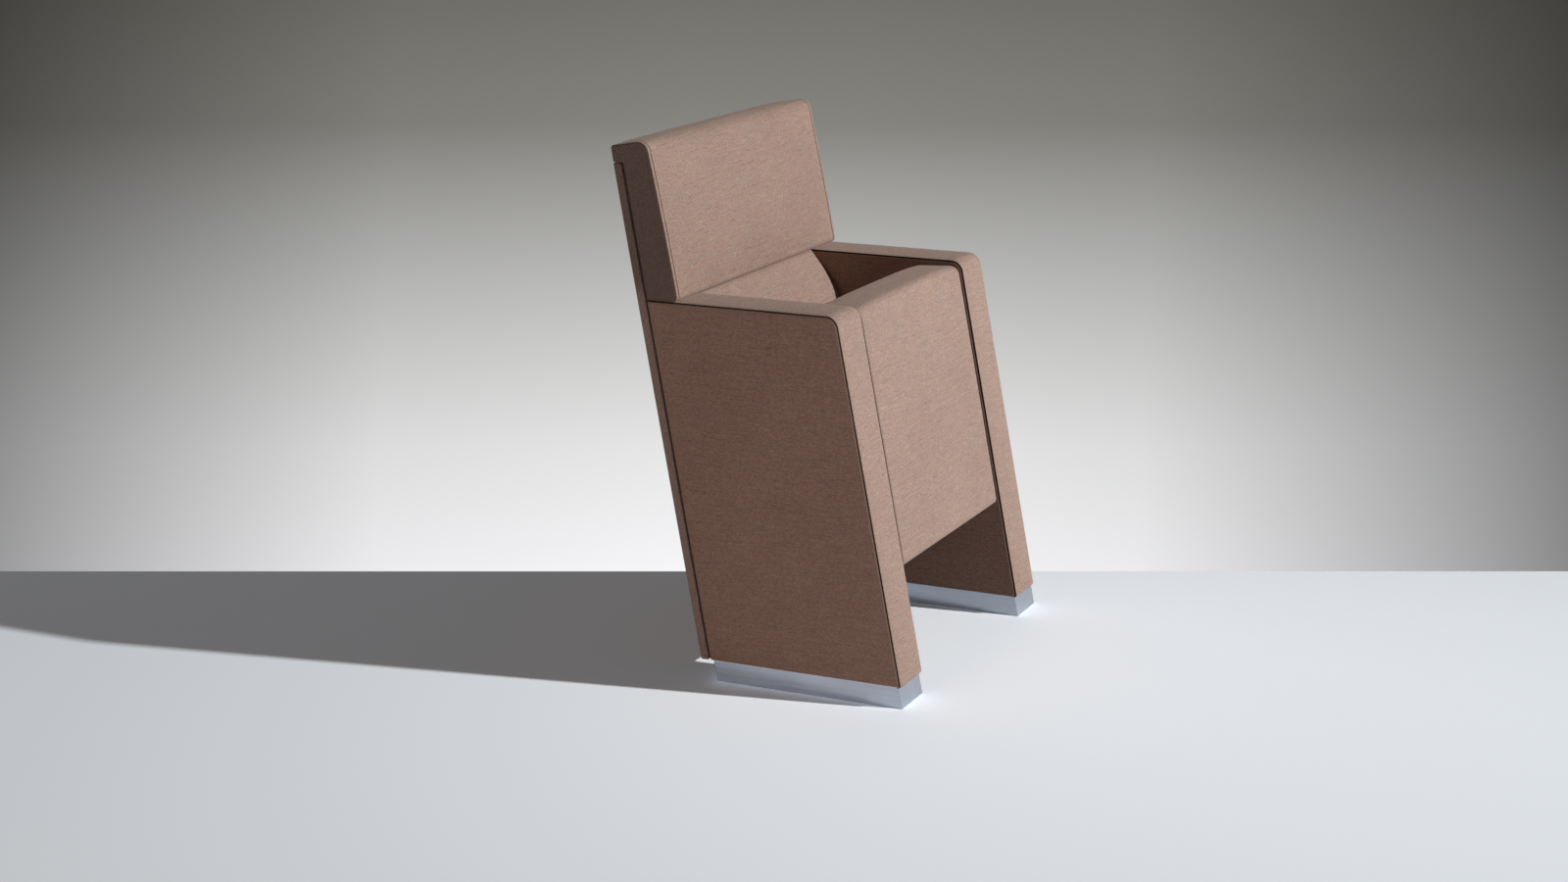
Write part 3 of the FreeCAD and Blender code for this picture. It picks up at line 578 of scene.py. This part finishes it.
def side_pad(name, sign, face_x, way, crown):
    """The flat panel of a side. way is +1 where its face looks to +X before mirroring.

    The face swells by crown and drops away over small radii at its edges.
    The back follows the same border, one pad thickness deep.
    """
    edges = [0.0, 0.4, 0.7, 1.2, 1.8, 2.6, 3.8, 5.5, 8.5]
    heights = PLINTH_HEIGHT + spread(ARM_HEIGHT - PLINTH_HEIGHT - 1.0, edges, 8.0)
    shares = spread(1.0, [e / PANEL_DEPTH for e in edges], 8.0 / PANEL_DEPTH)
    centre = arm_centre()
    corner_top = centre[1] + ARM_RADIUS * FRONT_NORMAL[1]
    in_corner = np.linspace(corner_top, ARM_HEIGHT - 1.0, 9)
    heights = np.unique(np.round(np.concatenate([heights, in_corner]), 3))
    keep = [heights[0]]
    for z in heights[1:]:
        if z - keep[-1] > 0.3:
            keep.append(z)
    heights = np.array(keep)
    rows = []
    for z in heights:
        front = front_y(z) + 1.0
        if z > corner_top:
            front = centre[0] - math.sqrt(max((ARM_RADIUS - 1.0) ** 2 - (z - centre[1]) ** 2, 0))
        rear = rear_y(z)
        y = front + (rear - front) * shares
        distance = front_distance(y, z)
        rear_gap = (rear - y) * REAR_NORMAL[0]
        low_gap = z - PLINTH_HEIGHT
        drop = edge_drop(distance - 0.6, 4.0) + edge_drop(rear_gap, 3.0) + edge_drop(low_gap, 3.5)
        fall = 1 - np.exp(-distance / SWELL)
        fall *= 1 - np.exp(-rear_gap / SWELL)
        fall *= 1 - np.exp(-(low_gap + 0.01) / SWELL)
        x = face_x + way * (crown * fall - drop)
        rows.append(np.column_stack([x, y, np.full(len(y), z)]))
    n, m = len(rows), len(rows[0])
    points = np.concatenate(rows)
    faces = [(i * m + k, i * m + k + 1, (i + 1) * m + k + 1, (i + 1) * m + k)
             for i in range(n - 1) for k in range(m - 1)]
    border = list(range(m)) + [i * m + m - 1 for i in range(1, n)]
    border += [(n - 1) * m + k for k in range(m - 2, -1, -1)] + [i * m for i in range(n - 2, 0, -1)]
    back = []
    for index in border:
        x, y, z = points[index]
        row, col = divmod(index, m)
        deep = PAD - 2.0
        if row == n - 1 or z > corner_top and col == 0:
            out = np.array([y, z]) - centre
            out = out / np.hypot(*out) if col == 0 else np.array([0.0, 1.0])
            y, z = np.array([y, z]) - out * deep
        elif col == 0:
            y = y + deep / -FRONT_NORMAL[0]
        if col == m - 1:
            y = rear_y(z)
        back.append((face_x - way * PAD, y, z))
    first = len(points)
    points = np.concatenate([points, back])
    count = len(border)
    for k in range(count):
        j = (k + 1) % count
        faces.append((border[k], border[j], first + j, first + k))
    faces.append(tuple(first + k for k in range(count)))
    points[:, 0] *= sign
    piece = new_piece(name, points, faces)
    y, z = points[:, 1], points[:, 2]
    distance = front_distance(y, z)
    # Painted shade: a near-black line two to three millimetres in from the front and top outline, standing
    # for the seam and the shade in its groove
    mark(piece, "seam_and_painted_shade", np.interp(distance, [2.2, 2.8], [1.0, 0.0]))
    return piece


def cut_out(piece, boxes):
    """Cuts blocks and rods out of a finished piece; each is a closed mesh in millimetres."""
    for points, faces in boxes:
        cutter = new_piece("cutter", points, faces, smooth=False)
        boolean = piece.modifiers.new("cut", "BOOLEAN")
        boolean.operation = "DIFFERENCE"
        boolean.solver = "EXACT"
        boolean.object = cutter
        graph = bpy.context.evaluated_depsgraph_get()
        result = bpy.data.meshes.new_from_object(piece.evaluated_get(graph))
        piece.modifiers.remove(boolean)
        old = piece.data
        piece.data = result
        bpy.data.meshes.remove(old)
        other = cutter.data
        bpy.data.objects.remove(cutter)
        bpy.data.meshes.remove(other)


def block(x0, x1, quad):
    """A block along X over four (y, z) points."""
    points = [(x0, y, z) for y, z in quad] + [(x1, y, z) for y, z in quad]
    sides = [(k, (k + 1) % 4, 4 + (k + 1) % 4, 4 + k) for k in range(4)]
    return points, sides + [(0, 1, 2, 3), (4, 5, 6, 7)]


def shaft_hole(x0, x1, y, z, radius, steps=24):
    ring = [(y + radius * math.cos(2 * math.pi * k / steps), z + radius * math.sin(2 * math.pi * k / steps))
            for k in range(steps)]
    points = [(x0, *p) for p in ring] + [(x1, *p) for p in ring]
    faces = [(k, (k + 1) % steps, steps + (k + 1) % steps, steps + k) for k in range(steps)]
    return points, faces + [tuple(range(steps)), tuple(range(steps, 2 * steps))]


# Heights of the back rails, and the hinge axis in the YZ plane
RAILS = (220.0, 450.0, 600.0)
PIVOT = (-36.937, 396.785)


def rail_hole(sign, level):
    """The way through the inner panel for a back rail, half a millimetre clear of it."""
    lean = math.radians(10.5)
    along = level / math.cos(lean)
    across = np.array([math.cos(lean), -math.sin(lean)])
    up = np.array([math.sin(lean), math.cos(lean)])
    foot = np.array([BASE_DEPTH / 2, 0.0])
    near, far = 10.0 * math.cos(lean) - 0.5, 28.0 * math.cos(lean) + 0.5
    half = 20.5
    quad = [tuple(foot + up * (along + s * half) - across * d)
            for s, d in ((-1, near), (1, near), (1, far), (-1, far))]
    x0, x1 = sorted((sign * (SIDE_INNER - 6), sign * (SIDE_INNER + PAD + 3)))
    return block(x0, x1, quad)


def arm_path():
    """Stations along the band: (point, outward normal, distance from the foot end)."""
    centre = arm_centre()
    stations = []
    start = np.array([front_y(PLINTH_HEIGHT), PLINTH_HEIGHT])
    end = centre + FRONT_NORMAL * ARM_RADIUS
    length = float(np.hypot(*(end - start)))
    count = round(length / 8.0)
    for d in [0.0, 0.35, 0.9, 1.7, 2.8, 4.0] + list(np.linspace(6.0, length, count)):
        stations.append((start + (end - start) * d / length, FRONT_NORMAL, d))
    a0, a1 = math.atan2(FRONT_NORMAL[1], FRONT_NORMAL[0]), math.pi / 2
    for f in np.linspace(0, 1, 12)[1:]:
        angle = a0 + (a1 - a0) * f
        normal = np.array([math.cos(angle), math.sin(angle)])
        stations.append((centre + normal * ARM_RADIUS, normal, length + ARM_RADIUS * abs(a1 - a0) * f))
    last = stations[-1]
    rear = rear_y(ARM_HEIGHT)
    for y in np.linspace(last[0][0], rear, 31)[1:]:
        stations.append((np.array([y, ARM_HEIGHT]), last[1], last[2] + y - last[0][0]))
    return stations


def arm_strip(name, sign):
    """The band over the front and the top of a side, mitred to the flat panels."""
    half = SIDE_WIDTH / 2
    offsets = [1.0, 1.4, 1.9, 2.7, 3.8, 5.4, 8.0, 12.0]
    inner = np.linspace(-half + 12.0, half - 12.0, 10)[1:-1]
    widths = np.concatenate([[-half + o for o in offsets], inner, [half - o for o in reversed(offsets)]])
    crown = 2.6 * (1 - (widths / half) ** 4) * 0.75 + 0.65 * (1 - (widths / half) ** 2)
    inner_roll, outer_roll = 1.9, 4.2
    drop = np.where(widths < 0, edge_drop(half + widths - 0.4, inner_roll),
                    edge_drop(half - widths - 0.4, outer_roll))
    profile = [(w, c - d) for w, c, d in zip(widths, crown, drop)]
    hidden = [(half - PAD, -PAD), (-half + PAD, -PAD)]
    stations = arm_path()
    rows = []
    for point, normal, along in stations:
        row = []
        for w, h in profile:
            high = h - float(edge_drop(along, 4.0))
            row.append((SIDE_MIDDLE + w, *(point + normal * high)))
        for w, h in hidden:
            row.append((SIDE_MIDDLE + w, *(point + normal * h)))
        rows.append(row)
    n, m = len(rows), len(rows[0])
    points = np.array(rows, float).reshape(-1, 3)
    faces = [(i * m + k, i * m + (k + 1) % m, (i + 1) * m + (k + 1) % m, (i + 1) * m + k)
             for i in range(n - 1) for k in range(m)]
    faces += [tuple(range(m)), tuple((n - 1) * m + k for k in range(m))]
    points[:, 0] *= sign
    piece = new_piece(name, points, faces)
    w = np.tile([p[0] for p in profile] + [0.0, 0.0], n)
    edge = np.where(np.tile(np.arange(m), n) < len(profile), half - np.abs(w), 0.0)
    # Painted shade: a near-black line two millimetres in from each long edge, standing for the seams and
    # the shade in their grooves and in the gaps beside them
    mark(piece, "seam_and_painted_shade", np.interp(edge, [1.9, 2.5], [1.0, 0.0]))
    return piece


def post_hole(sign):
    """The way through the arm for a back post, with a little room round it."""
    half, front, rear = 21.5, 28.5, 9.5
    x0, x1 = sorted((sign * (SIDE_MIDDLE - half), sign * (SIDE_MIDDLE + half)))
    low, high = ARM_HEIGHT - PAD - 8, ARM_HEIGHT + 8
    quad = [(rear_y(low) - front, low), (rear_y(low) - rear, low),
            (rear_y(high) - rear, high), (rear_y(high) - front, high)]
    return block(x0, x1, quad)


def plinth_piece(name, sign):
    """Mitred aluminium skirt with eased edges."""
    def corners(inset, z):
        x0, x1 = SIDE_INNER + inset, HALF_WIDTH - inset
        y0, y1 = front_y(z) + inset, rear_y(z) - inset
        return [(x0, y0, z), (x1, y0, z), (x1, y1, z), (x0, y1, z)]

    outer, inner = 4.0, 7.0
    points = np.array(corners(outer, 0.0) + corners(outer, PLINTH_HEIGHT)
                      + corners(inner, 0.0) + corners(inner, PLINTH_HEIGHT))
    points[:, 0] *= sign
    faces = []
    for k in range(4):
        j = (k + 1) % 4
        faces += [(k, j, 4 + j, 4 + k), (8 + k, 12 + k, 12 + j, 8 + j)]
        faces += [(k, 8 + k, 8 + j, j), (4 + k, 4 + j, 12 + j, 12 + k)]
    piece = new_piece(name, points, faces, smooth=False)
    bevel = piece.modifiers.new("eased", "BEVEL")
    bevel.width = 0.0009
    bevel.segments = 3
    bevel.limit_method = "ANGLE"
    graph = bpy.context.evaluated_depsgraph_get()
    eased = bpy.data.meshes.new_from_object(piece.evaluated_get(graph))
    piece.modifiers.remove(bevel)
    piece.data = eased
    return piece


for side, sign in (("left", 1), ("right", -1)):
    outer = side_pad("side_panel_outer_" + side, sign, HALF_WIDTH, 1, 1.6)
    finish(outer, fabric_y_painted_warm_shade, "carcass", ["outer_pad_" + side])
    inner = side_pad("side_panel_inner_" + side, sign, SIDE_INNER, -1, 1.2)
    x0, x1 = sorted((sign * (SIDE_INNER - 6), sign * (SIDE_INNER + PAD + 3)))
    holes = [rail_hole(sign, level) for level in RAILS]
    cut_out(inner, holes + [shaft_hole(x0, x1, *PIVOT, 10.0)])
    finish(inner, fabric_inner_painted_shade, "carcass", ["inner_pad_" + side])
    strip = arm_strip("arm_strip_" + side, sign)
    cut_out(strip, [post_hole(sign)])
    finish(strip, fabric_x, "carcass", ["arm_band_" + side])
    skirt = plinth_piece("plinth_skirt_" + side, sign)
    finish(skirt, aluminium, "carcass", ["plinth_" + side])


# Upper back

def back_cushion():
    """The block above the arms, with a lip behind that laps over the rear panel's top."""
    bottom = ARM_HEIGHT + BACK_SEAM
    lip = PANEL_TOP + 2 * BACK_SEAM
    front_top = (face_y(BACK_TOP), BACK_TOP)
    fall = math.tan(math.radians(10.0))
    offset = BASE_DEPTH / 2 + BACK_OVERHANG
    z = (BACK_TOP + fall * front_top[0] - fall * offset) / (1 + fall * REAR_SLOPE)
    rear_top = (offset + z * REAR_SLOPE, z)
    corners = [(face_y(bottom), bottom), front_top, rear_top, (rear_y(lip) + BACK_OVERHANG, lip),
               (rear_y(lip), lip), (rear_y(bottom), bottom)]
    radii = [8.0, 18.0, 5.0, 2.0, 0.0, 0.0]
    crowns = [4.5, 0.8, 0.0, 0.0, 0.0, 0.0]
    counts = [34, 9, 4, 3, 24, 8]
    piece, across, n, m = along_x("back_cushion", corners, radii, crowns, [1] * 6,
                                  counts, HALF_WIDTH, BOX_SEAM + TOP_STITCH, 8.0)
    co = spots(piece.data) * 1000
    front = co[:, 1] < face_y(co[:, 2]) + 30.0
    top = co[:, 2] > BACK_TOP - 25.0
    free = (across > 16.0) & (front | top) & (co[:, 2] > ARM_HEIGHT + 10.0)
    puff(piece, np.where(free, 0.0, 1.0), 0.003, 3.0)
    mark(piece, "seam_and_painted_shade", seam_and_shade_marks(across))
    return piece, n, m


def topstitch_lines(back, rings, around):
    """Both stitched grooves, up the block's front and over its top, with a normal from its middle."""
    co = spots(back.data) * 1000
    middle = np.array([0.0, 275.0, 770.0])
    lines = []
    for ring in (len(BOX_SEAM) + 3, rings - len(BOX_SEAM) - 4):
        picked = co[ring * around + 6:ring * around + 70]
        picked = picked[picked[:, 1] < rear_y(picked[:, 2]) + 8.0]
        out = picked - middle
        out[:, 0] = 0
        out /= np.linalg.norm(out, axis=1, keepdims=True)
        lines.append([(p + o * 0.2, o) for p, o in zip(picked, out)])
    return lines


back, rings, around = back_cushion()
topstitch = topstitch_lines(back, rings, around)
finish(back, fabric_back_painted_shade, "carcass", ["upper_back_pad"])
finish(stitches("back_topstitch", topstitch), thread, "carcass")


# Lumbar pad

def lumbar_cushion():
    """Upright below the knee, then leaning back to meet the block's foot."""
    bottom = PIVOT[1] - 2.0
    board_face, thickness, knee_drop = 36.0, 31.0, 76.0
    rear = rear_y(bottom) - board_face
    face = rear - thickness
    slope = math.tan(math.radians(38.0))
    corners = [(face, bottom), (face, ARM_HEIGHT - knee_drop), (face + knee_drop * slope, ARM_HEIGHT),
               (rear_y(ARM_HEIGHT) - board_face, ARM_HEIGHT), (rear, bottom)]
    radii = [25.0, 105.0, 0.0, 0.0, 0.0]
    crowns = [5.0, 2.5, 0.0, 0.0, 0.0]
    ends = [(0.0, 10.5), (0.0, 8.0), (0.25, 6.0), (0.9, 4.2), (2.2, 2.6), (4.0, 1.3), (6.5, 0.35),
            (9.0, 0.0)]
    piece, across, _, _ = along_x("lumbar_cushion", corners, radii, crowns, [1, 1, 0, 0, 1],
                                  [16, 9, 3, 22, 4], SIDE_INNER - 0.5, ends, 8.0)
    co = spots(piece.data) * 1000
    free = (across > 9.5) & (co[:, 1] < rear_y(co[:, 2]) - 45.0) & (co[:, 2] < ARM_HEIGHT - 8.0)
    puff(piece, np.where(free, 0.0, 1.0), 0.004, 3.0)
    mark(piece, "seam_and_painted_shade", np.zeros(len(co)))
    return piece


finish(lumbar_cushion(), fabric_x, "carcass", ["lumbar_pad"])


# Rear panel

def rear_panel():
    """Stands behind a groove; its edges above the arms carry painted shade, as the block's gusset does."""
    low, high = PLINTH_HEIGHT, PANEL_TOP + 0.7
    front, rear = 3.4, 17.5
    corners = [(rear_y(low) + front, low), (rear_y(high) + front, high),
               (rear_y(high) + rear, high), (rear_y(low) + rear, low)]
    ends = [(0.0, 4.4), (0.0, 2.2), (0.3, 1.2), (0.9, 0.5), (1.7, 0.1), (2.6, 0.0), (8.0, 0.0), (16.0, 0.0)]
    piece, across, _, _ = along_x("rear_panel_cover", corners, [2.0, 5.0, 2.2, 3.0], [0, 0, 1.6, 0],
                                  [1, 1, 1, 1], [90, 3, 90, 3], HALF_WIDTH, ends, 9.0)
    # Painted shade on the end faces above the arms
    above = np.clip((spots(piece.data)[:, 2] * 1000 - ARM_HEIGHT) / 30.0, 0, 1)
    mark(piece, "seam_and_painted_shade", np.where(across < 3.0, 0.35, 0.0) * above)
    return piece


finish(rear_panel(), fabric_x, "carcass", ["rear_cover", "rear_board"])


# Seat, drawn flat and then tilted to the front rake

def seat_cushion():
    """The underside is the first side of the outline; the top end slopes a little, as in the photo."""
    proud = 4.8
    corners = [(-proud, 0.0), (-proud, SEAT_LENGTH - 5.0),
               (SEAT_THICKNESS, SEAT_LENGTH + 7.0), (SEAT_THICKNESS, 0.0)]
    radii = [9.0, 17.0, 18.0, 15.0]
    crowns = [1.5, 0.0, 8.0, 0.0]
    ends = [(0.0, 9.5), (0.0, 6.2), (0.25, 4.6), (1.1, 3.7), (1.1, 3.1), (0.5, 2.5), (0.6, 1.9),
            (1.0, 1.25), (1.7, 0.7), (2.7, 0.32), (4.0, 0.1), (5.6, 0.0), (11.0, 0.0), (16.0, 0.0)]
    piece, across, n, m = along_x("seat_upholstery", corners, radii, crowns, [1, 1.5, 1, 1],
                                  [54, 7, 54, 7], SEAT_HALF, ends, 8.0)
    co = spots(piece.data) * 1000
    free = (across > 14.0) & (co[:, 1] > 20.0) & (co[:, 2] < SEAT_LENGTH - 25.0)
    soft = (across > 14.0) & ~free
    held = np.where(free, 0.0, np.where(soft, 0.6, 1.0))
    puff(piece, held, 0.004, 3.0)
    # Painted shade: the ends are darkened on rings 3 to 5, fully near the underside and faintly elsewhere,
    # standing for the shade in the gaps beside the bands
    ring = np.arange(n).repeat(m)
    ring = np.minimum(ring, n - 1 - ring)
    seam_and_painted_shade = np.where((ring >= 3) & (ring <= 5), 1.0, 0.0)
    mark(piece, "seam_and_painted_shade", seam_and_painted_shade * np.where(co[:, 1] < 9.0, 1.0, 0.2))
    co = spots(piece.data) * 1000
    tilt = math.radians(11.0)
    y, z = co[:, 1].copy(), co[:, 2].copy()
    bowed = 2.0 - 5.0 * np.abs(co[:, 0] / SEAT_HALF) ** 4
    z += bowed * np.clip((z - 300.0) / 130.0, 0, 1) ** 2
    co[:, 1] = y * math.cos(tilt) + z * math.sin(tilt) + front_y(SEAT_LOW) + SEAT_SETBACK
    co[:, 2] = z * math.cos(tilt) - y * math.sin(tilt) + SEAT_LOW
    put_spots(piece.data, co * 0.001)
    return piece


finish(seat_cushion(), fabric_x, "seat", ["seat_cover", "seat_cushion"])


# Floor, light and camera. LOOK is the camera's bearing. Lamps: name, place, size, power, colour.
# WORLD: colour and strength; glossy and camera rays see it brighter by GLOSSY_MORE and CAMERA_MORE.

LOOK = math.radians(-65.201)
AHEAD = (-math.sin(LOOK), math.cos(LOOK), 0.0)
ACROSS = (math.cos(LOOK), math.sin(LOOK), 0.0)
LAMPS = [
    ("key", (1.117, -6.972, 4.02), (0.15, 0.15), 570.0, (1.0, 0.99, 0.97)),
    ("fill", (-4.5, 0.5, 0.42), (1.4, 0.5), 13.6, (1.0, 0.60, 0.47)),
    ("back", (2.2, 4.6, 0.75), (1.6, 1.0), 20.0, (1.0, 0.98, 0.96)),
]
WORLD = ((1.0, 0.98, 0.96), 0.085)
GLOSSY_MORE, CAMERA_MORE = 1.3, 0.06
CAMERA_PLACE = (-4.18589, -1.74331, 1.49511)
CAMERA_DOWN = 14.060
CAMERA_LENS = 62.298
FLOOR_HALF = 60.0
# In metres: where the floor ends, measured ahead, and how the painted light of the backdrop behind it falls
# off
FLOOR_END = 0.418
CAMERA_BEHIND, RISE, ASIDE = 4.758, 5.164, 0.226


def dot(tree, place, direction):
    node = tree.nodes.new("ShaderNodeVectorMath")
    node.operation = "DOT_PRODUCT"
    node.inputs[1].default_value = direction
    tree.links.new(place, node.inputs[0])
    return node.outputs["Value"]


def floor_material():
    """Pale floor that takes the shadow, brightened near the seat as a painted pool of light, and past a
    straight line behind the seat a glowing grey backdrop whose painted light falls off upward and to the
    sides.
    """
    material, tree, shader = started("studio_floor")
    tree.nodes.remove(shader)
    place = tree.nodes.new("ShaderNodeTexCoord").outputs["Object"]
    ahead, across = dot(tree, place, AHEAD), dot(tree, place, ACROSS)
    depth = scaled(tree, ahead, 0.97, CAMERA_BEHIND)
    rise = math_node(tree, "DIVIDE", RISE, depth)
    aside = math_node(tree, "DIVIDE", math_node(tree, "ADD", across, ASIDE), depth)
    aside = math_node(tree, "MULTIPLY", math_node(tree, "ABSOLUTE", aside, 0.0), 3.0)
    # Painted light: the glowing backdrop is brightest just above the floor line and fades upward and to the
    # sides, as light falling off on a wall
    grey = ramp(tree, rise, [(0.25, (0.154, 0.150, 0.133)), (0.45, (0.235, 0.230, 0.212)),
                             (0.85, (0.79, 0.79, 0.79)), (1.0, (0.92, 0.92, 0.94))])
    painted_side_falloff = ramp(tree, aside, [(0.1, 1.0), (0.42, 0.91), (0.9, 0.28)])
    emission = tree.nodes.new("ShaderNodeEmission")
    tree.links.new(times(tree, grey, painted_side_falloff), emission.inputs["Color"])
    paths = tree.nodes.new("ShaderNodeLightPath").outputs
    rays = math_node(tree, "MAXIMUM", paths["Is Camera Ray"], paths["Is Glossy Ray"])
    away = tree.nodes.new("ShaderNodeVectorMath")
    away.operation = "LENGTH"
    tree.links.new(place, away.inputs[0])
    # Painted light: camera and glossy rays see the floor brighter near the seat and to its left, a painted
    # pool of light fading with distance down to an even level
    painted_light_pool = scaled(tree, across, -0.20, 1.82)
    painted_light_pool = scaled(tree, away.outputs["Value"], -0.22, painted_light_pool)
    painted_light_pool = math_node(tree, "MAXIMUM", painted_light_pool, 1.0)
    floor = tree.nodes.new("ShaderNodeBsdfDiffuse")
    tree.links.new(mixed(tree, rays, (0.74, 0.785, 0.84), painted_light_pool, "MULTIPLY"), floor.inputs["Color"])
    backdrop = math_node(tree, "MULTIPLY", math_node(tree, "GREATER_THAN", ahead, FLOOR_END), rays)
    mix = tree.nodes.new("ShaderNodeMixShader")
    tree.links.new(backdrop, mix.inputs[0])
    tree.links.new(floor.outputs[0], mix.inputs[1])
    tree.links.new(emission.outputs[0], mix.inputs[2])
    tree.links.new(mix.outputs[0], tree.nodes["Material Output"].inputs["Surface"])
    return material


def studio():
    mesh = bpy.data.meshes.new("floor")
    corners = [(x * FLOOR_HALF, y * FLOOR_HALF, 0) for x, y in ((-1, -1), (1, -1), (1, 1), (-1, 1))]
    mesh.from_pydata(corners, [], [(0, 1, 2, 3)])
    floor = bpy.data.objects.new("floor", mesh)
    bpy.context.scene.collection.objects.link(floor)
    mesh.materials.append(floor_material())
    world = bpy.data.worlds.new("studio")
    world.use_nodes = True
    tree = world.node_tree
    tree.nodes["Background"].inputs["Color"].default_value = (*WORLD[0], 1.0)
    paths = tree.nodes.new("ShaderNodeLightPath").outputs
    strength = scaled(tree, paths["Is Glossy Ray"], GLOSSY_MORE, WORLD[1])
    strength = scaled(tree, paths["Is Camera Ray"], CAMERA_MORE, strength)
    tree.links.new(strength, tree.nodes["Background"].inputs["Strength"])
    bpy.context.scene.world = world
    for name, place, size, power, colour in LAMPS:
        data = bpy.data.lights.new(name, "AREA")
        data.shape = "RECTANGLE"
        data.size, data.size_y = size
        data.energy = power
        data.color = colour
        lamp = bpy.data.objects.new(name, data)
        bpy.context.scene.collection.objects.link(lamp)
        lamp.location = place
        away = Vector(place) - Vector((0.0, 0.1, 0.45))
        lamp.rotation_euler = away.to_track_quat("Z", "Y").to_euler()
    camera = bpy.data.cameras.new("camera")
    camera.sensor_width = 36.0
    camera.sensor_fit = "HORIZONTAL"
    camera.lens = CAMERA_LENS
    camera_object = bpy.data.objects.new("camera", camera)
    bpy.context.scene.collection.objects.link(camera_object)
    camera_object.location = CAMERA_PLACE
    camera_object.rotation_euler = (math.radians(90 - CAMERA_DOWN), 0.0, LOOK)
    bpy.context.scene.camera = camera_object
    bpy.context.scene.view_settings.view_transform = "Standard"


studio()
bpy.context.view_layer.update()
